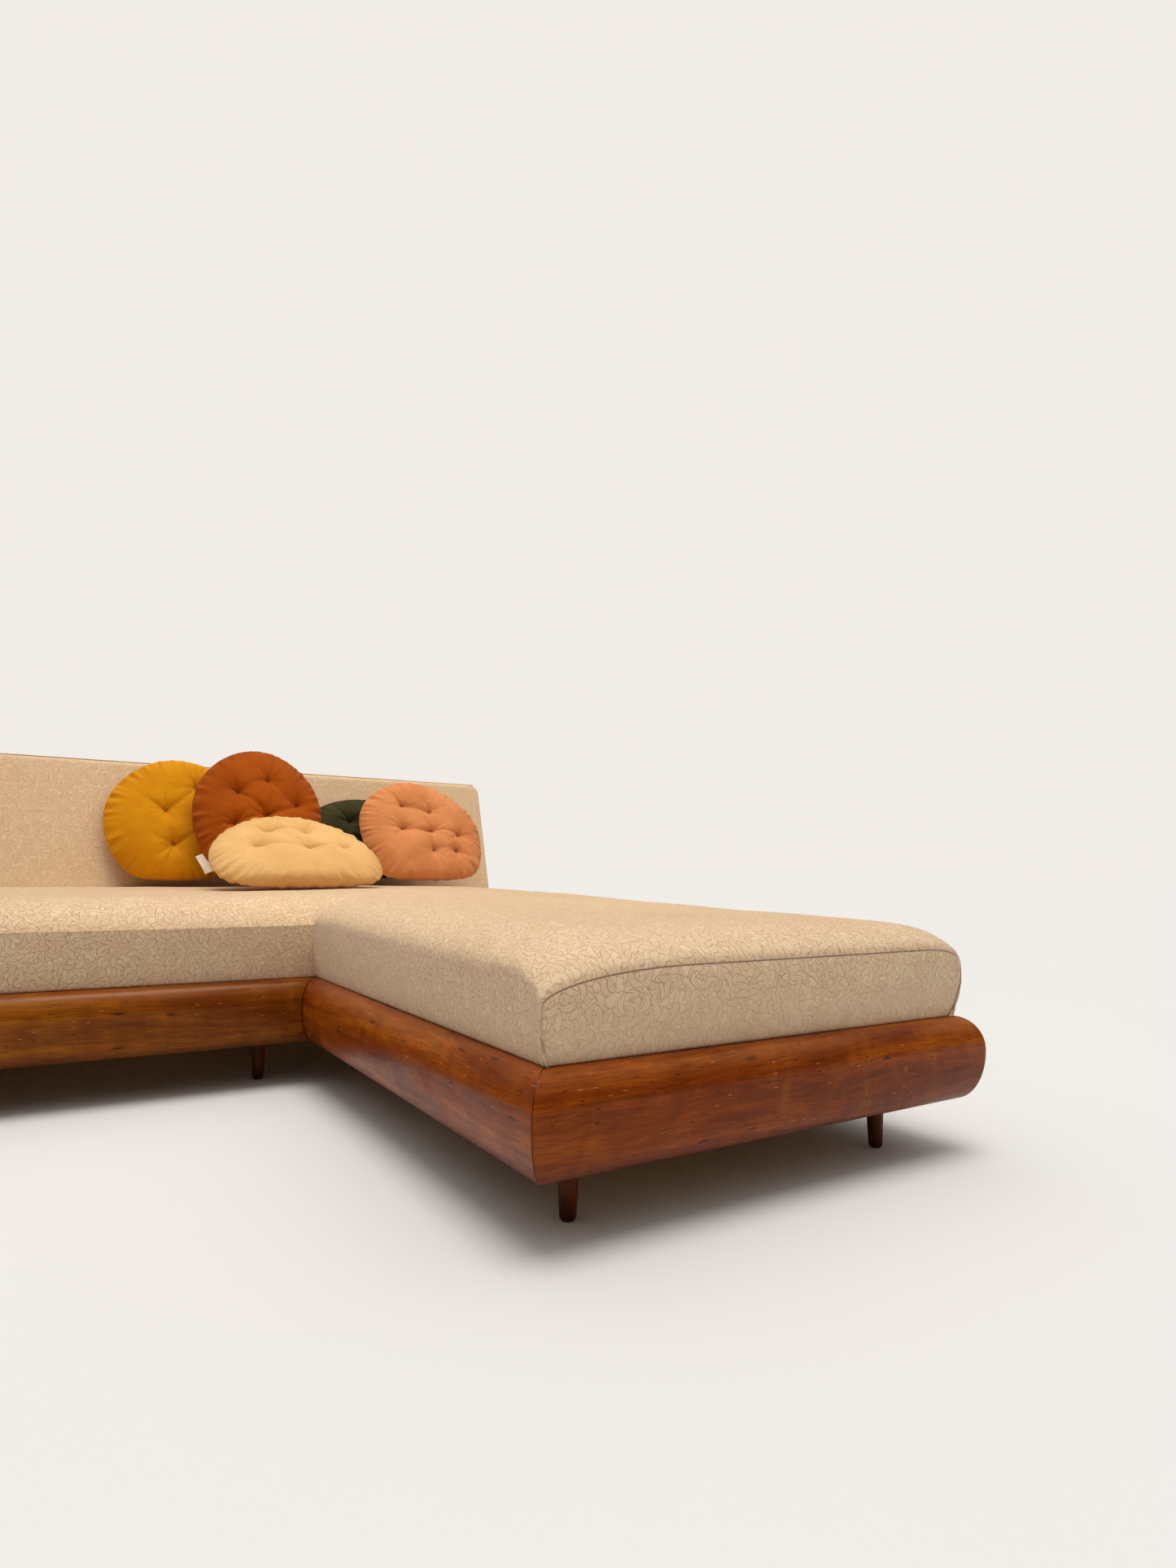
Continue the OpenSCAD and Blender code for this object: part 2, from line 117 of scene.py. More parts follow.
# ---------------------------------------------------------------- node helpers
class Mat:
    def __init__(self, name):
        self.m = bpy.data.materials.new(name)
        self.m.use_nodes = True
        self.t = self.m.node_tree
        self.t.nodes.clear()
        self.out = self.t.nodes.new("ShaderNodeOutputMaterial")
        self.b = self.t.nodes.new("ShaderNodeBsdfPrincipled")
        self.t.links.new(self.b.outputs[0], self.out.inputs["Surface"])

    def put(self, sock, v):
        if isinstance(v, bpy.types.NodeSocket):
            self.t.links.new(v, sock)
        else:
            sock.default_value = v

    def node(self, kind, ins=None, **props):
        n = self.t.nodes.new(kind)
        for k, v in props.items():
            setattr(n, k, v)
        for k, v in (ins or {}).items():
            self.put(n.inputs[k], v)
        return n

    def math(self, op, a, b=0.0, c=None, clamp=False):
        n = self.node("ShaderNodeMath", {0: a, 1: b}, operation=op, use_clamp=clamp)
        if c is not None:
            self.put(n.inputs[2], c)
        return n.outputs[0]

    def add(self, a, b): return self.math("ADD", a, b)
    def sub(self, a, b): return self.math("SUBTRACT", a, b)
    def mul(self, a, b): return self.math("MULTIPLY", a, b)

    def vec(self, x, y, z=0.0):
        n = self.node("ShaderNodeCombineXYZ", {0: x, 1: y, 2: z})
        return n.outputs[0]

    def sep(self, v):
        n = self.node("ShaderNodeSeparateXYZ", {0: v})
        return n.outputs[0], n.outputs[1], n.outputs[2]

    def vmul(self, v, s):
        n = self.node("ShaderNodeVectorMath", {0: v, 1: s}, operation="MULTIPLY")
        return n.outputs[0]

    def vadd(self, v, s):
        n = self.node("ShaderNodeVectorMath", {0: v, 1: s}, operation="ADD")
        return n.outputs[0]

    def vsub(self, v, s):
        n = self.node("ShaderNodeVectorMath", {0: v, 1: s}, operation="SUBTRACT")
        return n.outputs[0]

    def vscale(self, v, s):
        n = self.node("ShaderNodeVectorMath", {0: v, "Scale": s}, operation="SCALE")
        return n.outputs[0]

    def noise(self, v, scale, detail=3.0, rough=0.5, dist=0.0):
        n = self.node("ShaderNodeTexNoise", {"Vector": v, "Scale": scale, "Detail": detail, "Roughness": rough, "Distortion": dist})
        return n.outputs[0]

    def noise_c(self, v, scale, detail=2.0, rough=0.5):
        n = self.node("ShaderNodeTexNoise", {"Vector": v, "Scale": scale, "Detail": detail, "Roughness": rough})
        return n.outputs[1]

    def voronoi(self, v, scale, rand=1.0, feature="F1", dims="2D"):
        n = self.node("ShaderNodeTexVoronoi", {"Vector": v, "Scale": scale, "Randomness": rand}, feature=feature, voronoi_dimensions=dims)
        return n

    def ramp(self, f, stops, interp="LINEAR"):
        n = self.node("ShaderNodeValToRGB", {"Fac": f})
        r = n.color_ramp
        r.interpolation = interp
        while len(r.elements) < len(stops):
            r.elements.new(0.5)
        for e, (p, c) in zip(r.elements, stops):
            e.position = p
            e.color = (c[0], c[1], c[2], 1.0) if hasattr(c, "__len__") else (c, c, c, 1.0)
        return n.outputs[0]

    def step(self, a, b, x, clamp=True):
        """0 below a, 1 above b, smooth between."""
        n = self.node("ShaderNodeMapRange", {"Value": x, "From Min": a, "From Max": b, "To Min": 0.0, "To Max": 1.0}, interpolation_type="SMOOTHSTEP")
        return n.outputs[0]

    def rng(self, x, a, b, c, d):
        n = self.node("ShaderNodeMapRange", {"Value": x, "From Min": a, "From Max": b, "To Min": c, "To Max": d})
        return n.outputs[0]

    def mix(self, f, a, b, mode="MIX"):
        n = self.node("ShaderNodeMix", data_type="RGBA", blend_type=mode, clamp_factor=True)
        self.put(n.inputs[0], f)
        for i, v in ((6, a), (7, b)):
            if not isinstance(v, bpy.types.NodeSocket) and len(v) == 3:
                v = (*v, 1.0)
            self.put(n.inputs[i], v)
        return n.outputs[2]

    def mixf(self, f, a, b):
        n = self.node("ShaderNodeMix", data_type="FLOAT", clamp_factor=True)
        for i, v in ((0, f), (2, a), (3, b)):
            self.put(n.inputs[i], v)
        return n.outputs[0]

    def uv(self): return self.node("ShaderNodeUVMap", uv_map="UVMap").outputs[0]
    def obj(self): return self.node("ShaderNodeTexCoord").outputs["Object"]
    def attr(self, name): return self.node("ShaderNodeAttribute", attribute_name=name).outputs["Fac"]

    def bump(self, h, strength, dist, normal=None):
        n = self.node("ShaderNodeBump", {"Height": h, "Strength": strength, "Distance": dist})
        if normal is not None:
            self.put(n.inputs["Normal"], normal)
        return n.outputs[0]

    def set(self, **kw):
        for k, v in kw.items():
            s = self.b.inputs[k.replace("_", " ")]
            if isinstance(v, tuple) and len(v) == 3 and s.type == "RGBA":
                v = (*v, 1.0)
            self.put(s, v)
        return self


def lin(r, g, b):
    """sRGB 0-255 to linear."""
    return tuple(((c / 255) / 12.92) if c / 255 <= 0.04045 else (((c / 255) + 0.055) / 1.055) ** 2.4 for c in (r, g, b))


# ---------------------------------------------------------------- wood
def wood(name, tone="walnut", offset=0.0, coords="uv", axis=0):
    """Figured hardwood; u runs along the grain, in metres."""
    m = Mat(name)
    if coords == "uv":
        u, v, _ = m.sep(m.uv())
        w = offset
    else:
        xyz = m.sep(m.obj())
        u, v, w = xyz[axis], xyz[(axis + 1) % 3], xyz[(axis + 2) % 3]
    u = m.add(u, offset)
    tones = {
        "walnut": (lin(94, 34, 2), lin(142, 60, 5), lin(168, 82, 12), lin(198, 118, 36)),
        "honey": (lin(92, 38, 2), lin(138, 68, 4), lin(162, 90, 10), lin(190, 120, 26)),
        "leg": (lin(52, 17, 3), lin(92, 36, 7), lin(120, 54, 14), lin(150, 86, 36)),
        "pine": (lin(168, 122, 74), lin(204, 164, 110), lin(222, 188, 138), lin(232, 204, 160)),
    }
    c0, c1, c2, c3 = tones[tone]
    p = m.vec(u, v, w)
    # slow bending of the grain lines
    warp = m.noise(m.vmul(p, (2.2, 7.0, 7.0)), 1.0, 2.0, 0.5)
    vv = m.add(v, m.mul(m.sub(warp, 0.5), 0.055))
    q = m.vec(u, vv, w)
    broad = m.noise(m.vmul(q, (1.6, 16.0, 16.0)), 1.0, 4.0, 0.55, 0.6)
    mid = m.noise(m.vmul(q, (5.0, 90.0, 90.0)), 1.0, 4.0, 0.6, 0.3)
    fine = m.noise(m.vmul(q, (22.0, 620.0, 620.0)), 1.0, 3.0, 0.6)
    base = m.ramp(broad, [(0.25, c0), (0.45, c1), (0.60, c2), (0.80, c3)])
    lines = m.ramp(mid, [(0.30, 0.0), (0.46, 0.62), (0.56, 1.0)])
    col = m.mix(m.rng(lines, 0, 1, 0.62, 0.0), base, c0)
    finel = m.step(0.38, 0.56, fine)
    col = m.mix(m.rng(finel, 0, 1, 0.42, 0.0), col, tuple(x * 0.45 for x in c0))
    # open pores: short dark dashes along the grain
    pore_n = m.noise(m.vmul(q, (70.0, 1500.0, 1500.0)), 1.0, 2.0, 0.7)
    pores = m.step(0.60, 0.70, pore_n)
    pore_z = m.step(0.42, 0.62, m.noise(m.vmul(q, (3.0, 22.0, 22.0)), 1.0, 2.0, 0.5))
    pores = m.mul(pores, m.rng(pore_z, 0, 1, 0.35, 1.0))
    col = m.mix(m.mul(pores, 0.75), col, tuple(x * 0.22 for x in c0))
    # cross figure, the soft blotches that catch the light
    fig = m.noise(m.vmul(p, (14.0, 9.0, 9.0)), 1.0, 3.0, 0.55, 1.2)
    col = m.mix(m.mul(m.step(0.52, 0.78, fig), 0.20), col, c3, "MIX")
    col = m.mix(m.mul(m.step(0.55, 0.30, fig), 0.38), col, c0, "MIX")
    rough = m.rng(mid, 0.3, 0.7, 0.36, 0.26)
    height = m.add(m.mul(fine, 0.35), m.mul(pores, -1.0))
    if tone in ("walnut", "honey", "leg"):
        # short scratches, knocks and old stains
        st = m.voronoi(m.vmul(q, (11.0, 42.0, 1.0)), 1.0, 1.0)
        s_r, s_g, s_b = m.sep(st.outputs["Color"])
        blotch = m.mul(m.step(0.17, 0.05, st.outputs["Distance"]), m.step(0.90, 0.93, s_r))
        col = m.mix(m.mul(blotch, 0.70), col, tuple(x * 0.12 for x in c0))
        sc = m.voronoi(m.vadd(m.vmul(m.vec(u, v, w), (46.0, 260.0, 1.0)), (3.7, 9.1, 0.0)), 1.0, 1.0)
        k_r, k_g, k_b = m.sep(sc.outputs["Color"])
        nick = m.mul(m.step(0.24, 0.10, sc.outputs["Distance"]), m.step(0.90, 0.93, k_r))
        pale = m.mul(nick, m.step(0.70, 0.72, k_g))
        dark = m.mul(nick, m.step(0.72, 0.70, k_g))
        col = m.mix(m.mul(dark, 0.85), col, tuple(x * 0.10 for x in c0))
        col = m.mix(m.mul(pale, 0.55), col, lin(206, 150, 96))
        # worn and dirty patches in the finish
        worn = m.noise(m.vmul(p, (3.2, 14.0, 14.0)), 1.0, 5.0, 0.65, 0.5)
        rough = m.add(rough, m.mul(m.step(0.45, 0.70, worn), 0.16))
        height = m.sub(height, m.mul(nick, 1.6))
        if tone != "leg":
            edge = m.attr("edge")   # 1 at the mitre, 0 away from it
            col = m.mix(m.mul(m.step(0.80, 0.98, edge), 0.85), col, tuple(x * 0.10 for x in c0))
            low = m.attr("low")     # painted shade on the underside: darker towards the bottom of the rail and on its inner faces
            col = m.mix(m.mul(low, 0.55), col, tuple(x * 0.30 for x in c0))
            upper_round_highlight = m.attr("crown")  # painted highlight along the upper round, broken into patches by the worn noise
            col = m.mix(m.mul(m.mul(upper_round_highlight, m.step(0.35, 0.75, worn)), 0.42), col, lin(190, 118, 60))
    m.set(Base_Color=col, Roughness=rough, Specular_IOR_Level=0.12, Specular_Tint=(1.0, 0.74, 0.46), Normal=m.bump(height, 0.35, 0.0006))
    if tone in ("walnut", "honey"):
        m.set(Coat_Weight=0.13, Coat_Roughness=0.13)
    elif tone == "leg":
        m.set(Coat_Weight=0.15, Coat_Roughness=0.35)
    else:
        m.set(Roughness=0.62)
    return m.m


# ---------------------------------------------------------------- upholstery cloth
def jacquard(name, seams=True, strength=1.0):
    """Tone-on-tone leaf cloth. UV is metres on the flat cloth."""
    m = Mat(name)
    uv = m.uv()
    bend = m.noise_c(uv, 55.0, 1.0, 0.5)
    wob = m.vscale(m.vsub(bend, (0.5, 0.5, 0.5)), 0.017)
    p = m.vadd(uv, wob)
    ground = lin(226, 195, 157)
    light = lin(236, 208, 172)
    linec = lin(168, 128, 90)
    # ground layer: bent cells
    ve = m.voronoi(p, 58.0, 0.95, "DISTANCE_TO_EDGE")
    vc = m.voronoi(p, 58.0, 0.95, "F1")
    line = m.mul(m.step(0.085, 0.020, ve.outputs["Distance"]), 0.7)
    r0, g0, b0 = m.sep(vc.outputs["Color"])
    tone = g0
    hat = m.noise(p, 900.0, 1.0, 0.5)
    # two layers of curved leaves laid over it
    for k, (den, shift, ln, wd, bow) in enumerate(((50.0, (0.37, 0.11, 0.0), 0.62, 0.27, 0.95), (45.0, (0.83, 0.59, 0.0), 0.60, 0.25, -0.90), (41.0, (0.21, 0.93, 0.0), 0.62, 0.22, 1.05))):
        q = m.vscale(m.vadd(m.vadd(uv, m.vscale(wob, 0.35)), shift), den)
        vo = m.voronoi(q, 1.0, 0.62, "F1")
        d = m.vsub(q, vo.outputs["Position"])
        cr, cg, cb = m.sep(vo.outputs["Color"])
        rot = m.node("ShaderNodeVectorRotate", {"Vector": d, "Angle": m.mul(cr, 6.2832)}, rotation_type="Z_AXIS")
        a, b, _ = m.sep(rot.outputs[0])
        b = m.add(b, m.mul(m.mul(a, a), bow))
        an = m.math("DIVIDE", a, ln)
        half = m.mul(m.sub(1.0, m.mul(an, an)), wd)
        # heart-shaped notch at one end
        half = m.add(half, m.mul(m.math("MAXIMUM", an, 0.0), 0.055))
        ins = m.sub(half, m.math("ABSOLUTE", b))            # > 0 inside the leaf
        mask = m.step(-0.020, 0.015, ins)
        rim = m.mul(m.step(0.062, 0.022, m.math("ABSOLUTE", ins)), 1.0)
        vein = m.step(0.028, 0.008, m.math("ABSOLUTE", b))
        hatch = m.math("SINE", m.mul(m.add(m.mul(a, 0.8), m.math("ABSOLUTE", b)), 52.0))
        inner = m.math("MAXIMUM", rim, m.mul(vein, 0.35))
        inner = m.math("MAXIMUM", inner, m.mul(m.step(0.55, 1.0, hatch), 0.26))
        keep = m.mul(mask, m.step(0.10, 0.16, cb))        # some cells have no leaf
        line = m.mixf(keep, line, inner)
        tone = m.mixf(keep, tone, cg)
    # fainter in broad patches, as the light and handling leave it
    fade = m.rng(m.noise(uv, 2.4, 3.0, 0.6), 0.30, 0.70, 0.72, 1.05)
    low = m.attr("fade")
    lm = m.mul(m.mul(line, fade), m.rng(low, 0.0, 1.0, 0.92 * strength, 0.50 * strength))
    col = m.mix(tone, ground, light)
    col = m.mix(lm, col, linec)
    # warp and weft, slubs
    ux, uy, _ = m.sep(uv)
    warp = m.math("SINE", m.mul(ux, 2 * math.pi * 1150.0))
    weft = m.math("SINE", m.mul(uy, 2 * math.pi * 1000.0))
    weave = m.mul(m.add(warp, weft), 0.25)
    slub = m.noise(m.vmul(uv, (60.0, 1400.0, 1.0)), 1.0, 3.0, 0.6)
    slub2 = m.noise(m.vmul(uv, (1400.0, 70.0, 1.0)), 1.0, 3.0, 0.6)
    sl = m.mul(m.add(slub, slub2), 0.5)
    col = m.mix(m.rng(sl, 0.35, 0.65, 0.16, 0.0), col, lin(150, 116, 84))
    soil = m.noise(uv, 5.0, 4.0, 0.6, 0.4)
    col = m.mix(m.mul(m.step(0.50, 0.80, soil), 0.16), col, lin(196, 150, 98))
    if seams:
        s = m.attr("seam")       # millimetres from the sewn line
        dash = m.rng(m.math("SINE", m.mul(m.add(ux, uy), 2 * math.pi * 180.0)), -1.0, 1.0, 0.72, 1.0)
        sm = m.mul(m.step(1.25, 0.35, s), dash)
        col = m.mix(m.mul(sm, 0.88), col, lin(74, 50, 34))
        # painted shade in the seam's groove: darker within 7 mm of the sewn line
        seam_groove_shade = m.step(7.0, 1.0, s)
        col = m.mix(m.mul(seam_groove_shade, 0.16), col, lin(150, 116, 84))
    h = m.add(m.mul(m.sub(1.0, line), 0.55), m.mul(sl, 0.30))
    h = m.add(h, m.mul(weave, 0.22))
    m.set(Base_Color=col, Roughness=m.rng(line, 0.0, 1.0, 0.62, 0.82), Specular_IOR_Level=0.32,
          Sheen_Weight=0.22, Sheen_Roughness=0.45, Normal=m.bump(h, 0.30, 0.0009))
    return m.m


def plain_cloth(name, rgb, dark, lightc, weave=820.0):
    """Brushed plain-weave cotton, with painted shade in the tuft pits and gathers."""
    m = Mat(name)
    p = m.obj()
    cav = m.attr("painted_cavity_shade")       # 1 deep in a tuft or gather: mask for the painted shade in the hollows
    uv = m.uv()
    ux, uy, _ = m.sep(uv)
    a = m.math("SINE", m.mul(ux, 2 * math.pi * weave))
    b = m.math("SINE", m.mul(uy, 2 * math.pi * weave))
    grain = m.mul(a, b)
    var = m.noise(p, 9.0, 4.0, 0.6)
    fuzz = m.noise(p, 420.0, 3.0, 0.7)
    slub = m.noise(m.vmul(uv, (40.0, 900.0, 1.0)), 1.0, 3.0, 0.6)
    col = m.mix(m.step(0.30, 0.72, var), dark, rgb)
    col = m.mix(m.mul(m.step(0.48, 0.75, fuzz), 0.28), col, lightc)
    col = m.mix(m.mul(m.step(0.42, 0.25, slub), 0.22), col, dark)
    # painted shade: darker deep in the tuft pits and gathers
    col = m.mix(m.mul(m.step(0.15, 1.0, cav), 0.45), col, tuple(c * 0.42 for c in dark))
    h = m.add(m.mul(grain, 0.25), m.add(m.mul(fuzz, 0.45), m.mul(slub, 0.35)))
    # small creases left by packing
    cr = m.noise(p, 34.0, 3.0, 0.55, 0.9)
    crs = m.math("ABSOLUTE", m.sub(cr, 0.5))
    h = m.add(h, m.mul(m.step(0.0, 0.05, crs), 0.55))
    m.set(Base_Color=col, Roughness=m.rng(fuzz, 0.2, 0.8, 0.78, 0.92), Specular_IOR_Level=0.10,
          Sheen_Weight=0.06, Sheen_Roughness=0.5, Normal=m.bump(h, 0.40, 0.0010))
    return m.m


def steel(name):
    m = Mat(name)
    p = m.obj()
    n1 = m.noise(p, 38.0, 4.0, 0.6)
    n2 = m.noise(m.vmul(p, (900.0, 60.0, 60.0)), 1.0, 2.0, 0.5)
    col = m.mix(m.step(0.35, 0.7, n1), lin(150, 146, 138), lin(196, 194, 186))
    col = m.mix(m.mul(m.step(0.62, 0.74, n1), 0.5), col, lin(120, 88, 58))
    m.set(Base_Color=col, Roughness=m.rng(n2, 0.2, 0.8, 0.28, 0.48), Metallic=1.0, Normal=m.bump(n2, 0.15, 0.0002))
    return m.m


def plywood(name):
    m = Mat(name)
    x, y, z = m.sep(m.obj())
    g = m.noise(m.vec(m.mul(x, 3.0), m.mul(y, 60.0), m.mul(z, 500.0)), 1.0, 4.0, 0.6, 0.8)
    f = m.noise(m.vec(m.mul(x, 40.0), m.mul(y, 900.0), m.mul(z, 900.0)), 1.0, 2.0, 0.6)
    col = m.ramp(g, [(0.3, lin(176, 132, 84)), (0.5, lin(206, 168, 116)), (0.72, lin(224, 192, 146))])
    ply = m.math("SINE", m.mul(z, 2 * math.pi * 330.0))
    col = m.mix(m.mul(m.step(0.2, 0.8, ply), 0.22), col, lin(140, 96, 56))
    col = m.mix(m.mul(m.step(0.60, 0.75, f), 0.35), col, lin(130, 90, 54))
    m.set(Base_Color=col, Roughness=m.rng(f, 0.2, 0.8, 0.6, 0.75), Normal=m.bump(f, 0.2, 0.0004))
    return m.m


def foam(name, rgb):
    m = Mat(name)
    p = m.obj()
    v = m.voronoi(p, 420.0, 1.0, "F1", "3D")
    n = m.noise(p, 6.0, 3.0, 0.6)
    col = m.mix(m.step(0.2, 0.7, v.outputs["Distance"]), tuple(c * 0.86 for c in rgb), rgb)
    col = m.mix(m.mul(m.step(0.4, 0.8, n), 0.25), col, lin(228, 200, 130))
    m.set(Base_Color=col, Roughness=m.rng(n, 0.2, 0.8, 0.86, 0.95), Normal=m.bump(v.outputs["Distance"], 0.4, 0.001))
    return m.m


def moulded(name, rgb):
    m = Mat(name)
    p = m.obj()
    n = m.noise(p, 700.0, 3.0, 0.6)
    w = m.noise(p, 30.0, 3.0, 0.6)
    col = m.mix(m.step(0.4, 0.75, w), rgb, tuple(min(1.0, c * 2.2 + 0.01) for c in rgb))
    m.set(Base_Color=col, Roughness=m.rng(n, 0.2, 0.8, 0.48, 0.66), Normal=m.bump(n, 0.25, 0.0002))
    return m.m


M_WALNUT = wood("walnut_rails", "walnut")
M_HONEY = wood("walnut_seat_rails", "honey", offset=3.1)
M_LEG = wood("walnut_legs", "leg", offset=1.7)
M_PINE = wood("frame_timber", "pine", coords="obj", axis=0)
M_PINE_Y = wood("frame_timber_cross", "pine", coords="obj", axis=1)
M_TONGUE = wood("tongue_wood", "leg", coords="obj", axis=2)
M_CLOTH = jacquard("leaf_jacquard")
M_BACK = jacquard("leaf_jacquard_back", strength=0.62)
M_PLY = plywood("birch_plywood")
M_STEEL = steel("zinc_plated_steel")
M_FOAM = foam("seat_foam", lin(238, 228, 196))
M_FILL = foam("polyester_filling", lin(240, 238, 232))
M_GLIDE = moulded("glide_plastic", lin(34, 32, 30))


# ---------------------------------------------------------------- camera
def camera():
    yaw, pitch, roll, f = 0.564636, 0.0996486, 0.0110671, 1068.40
    fwd = Vector((math.sin(yaw) * math.cos(pitch), math.cos(yaw) * math.cos(pitch), math.sin(pitch)))
    right = Vector((math.cos(yaw), -math.sin(yaw), 0.0))
    up = right.cross(fwd)
    r2 = math.cos(roll) * right + math.sin(roll) * up
    u2 = -math.sin(roll) * right + math.cos(roll) * up
    cam_d = bpy.data.cameras.new("view")
    cam_d.sensor_fit = "AUTO"
    cam_d.sensor_width = 36.0
    cam_d.lens = 36.0 * f / 1927.0
    cam_d.clip_start, cam_d.clip_end = 0.01, 200.0
    cam = bpy.data.objects.new("view", cam_d)
    scene.collection.objects.link(cam)
    m = Matrix((r2, u2, -fwd)).transposed().to_4x4()
    m.translation = Vector((float(_o.x) - 0.5160, float(_o.y) - 0.9306, 0.4760))
    cam.matrix_world = m
    scene.camera = cam


camera()


# ---------------------------------------------------------------- rails
def rail_profile(n1=22, n2=18):
    """(inset o, height z) round the rail: inner bottom, under, bullnose, top, inner top."""
    pts = [(RAIL_T, RAIL_Z0), (48.0, RAIL_Z0)]
    for i in range(n1 + 1):
        a = math.radians(90 - 90 * i / n1)
        pts.append((37 - 37 * math.cos(a), CREST - (CREST - RAIL_Z0) * math.sin(a)))
    for i in range(1, n2 + 1):
        a = math.radians(90 * i / n2)
        pts.append((36 - 36 * math.cos(a), CREST + (RAIL_Z1 - CREST) * math.sin(a)))
    pts += [(48.0, RAIL_Z1), (RAIL_T, RAIL_Z1)]
    return np.array(pts)


PROFILE = rail_profile()
_d = np.diff(np.vstack([PROFILE, PROFILE[:1]]), axis=0)
PROFILE_S = np.concatenate([[0], np.cumsum(np.hypot(_d[:, 0], _d[:, 1]))])
_n = np.zeros_like(PROFILE)
for _i in range(len(PROFILE)):
    _a, _b = PROFILE[_i - 1], PROFILE[(_i + 1) % len(PROFILE)]
    _t = _b - _a
    _t = _t / np.hypot(*_t)
    _n[_i] = (_t[1], -_t[0])
if np.dot(_n[12], [1, 0]) > 0:      # outward is towards smaller inset
    _n = -_n
PROFILE_N = _n


def rail(name, node, p0, p1, inward, m0, m1, mat, seed, shift_u):
    p0, p1, inward = np.array(p0, float), np.array(p1, float), np.array(inward, float)
    t = (p1 - p0) / np.linalg.norm(p1 - p0)
    length = np.linalg.norm(p1 - p0)
    k = len(PROFILE)
    gap = 0.30
    rings = []                      # (fraction rule, distance from the joint, bevel)
    ends = [0.0, 0.5, 1.2, 3.0, 7.0]
    n_mid = int((length - 14 - 130) / 14)
    mids = np.linspace(0.0, 1.0, n_mid)
    verts, uvs_v, edge, low, crown = [], [], [], [], []
    station = [("a", e) for e in ends] + [("m", f) for f in mids] + [("b", e) for e in reversed(ends)]
    wob_p = np.array([[i * 15.0, 0, seed * 50.0] for i in range(len(station))])
    wob = fbm(wob_p, 230.0, 2, seed)
    wob2 = fbm(wob_p + 900.0, 170.0, 2, seed + 3)
    for r, (kind, val) in enumerate(station):
        for j in range(k):
            o, z = PROFILE[j]
            s0 = m0 * o + gap
            s1 = length + m1 * o - gap
            if kind == "a":
                s = s0 + val
            elif kind == "b":
                s = s1 - val
            else:
                s = (s0 + 9.0) + (s1 - s0 - 18.0) * val
            near = min(s - s0, s1 - s)
            bev = 0.9 * max(0.0, 1.0 - near / 1.2) ** 2 if near < 1.2 else 0.0
            # handmade unevenness of the rounded face, tiny
            amp = 0.0 if z in (RAIL_Z0,) or o > 46 else 1.0
            d = amp * (0.35 * wob[r] + 0.25 * wob2[r] * math.sin(j * 0.33)) * min(1.0, near / 30.0)
            nn = PROFILE_N[j] * (d - bev)
            oo, zz = o + nn[0], z + nn[1]
            oo = max(oo, 0.0)
            pos = p0 + t * s + inward * oo
            verts.append((pos[0], pos[1], zz))
            uvs_v.append(((s + shift_u) / 1000.0, PROFILE_S[j] / 1000.0))
            edge.append(max(0.0, 1.0 - near / 7.0))
            # low: mask for the painted shade, 1 at the bottom of the rounded face, 0.6 on the inner faces
            low.append(float(smooth(RAIL_Z0 + 26, RAIL_Z0 + 2, z) if o < 50 else 0.6))
            # crown: band on the upper round that carries the painted highlight
            crown.append(float(np.exp(-((z - 222.0) / 12.0) ** 2) * (1.0 if o < 44 else 0.5)))
    n = len(station)
    faces, corner_uv = [], []
    for r in range(n - 1):
        for j in range(k):
            j2 = (j + 1) % k
            f = [r * k + j, (r + 1) * k + j, (r + 1) * k + j2, r * k + j2]
            faces.append(f)
            for idx, jj in ((f[0], j), (f[1], j), (f[2], j + 1), (f[3], j + 1)):
                corner_uv.append((uvs_v[idx][0], PROFILE_S[jj] / 1000.0))
    faces.append(list(range(k)))
    corner_uv += [(uvs_v[i][0], uvs_v[i][1]) for i in range(k)]
    faces.append([(n - 1) * k + j for j in reversed(range(k))])
    corner_uv += [(uvs_v[(n - 1) * k + j][0], uvs_v[(n - 1) * k + j][1]) for j in reversed(range(k))]
    # face winding outward: test against the direction away from the rail's middle
    V = cad(verts)
    a, b, c = V[faces[12][0]], V[faces[12][1]], V[faces[12][2]]
    nrm = np.cross(b - a, c - a)
    mid = cad([[*(p0 + t * (length / 2) + inward * 30), 160.0]])[0]
    ctr = V[faces[12]].mean(0)
    rel = ctr - mid
    rel = rel - np.array([*t, 0]) * np.dot(rel, np.array([*t, 0]))
    if np.dot(nrm, rel) < 0:
        new_f, new_uv, pos = [], [], 0
        for f in faces:
            q = len(f)
            new_f.append(list(reversed(f)))
            new_uv += list(reversed(corner_uv[pos:pos + q]))
            pos += q
        faces, corner_uv = new_f, new_uv
    o = mesh_object(name, V, faces, corner_uv, True, {"edge": edge, "low": low, "crown": crown})
    me = o.data
    me.polygons[-1].use_smooth = False
    me.polygons[-2].use_smooth = False
    me.materials.append(mat)
    # keep the square inner arris crisp
    me.set_sharp_from_angle(angle=math.radians(50))
    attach(o, "base")
    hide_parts(node)
    return o


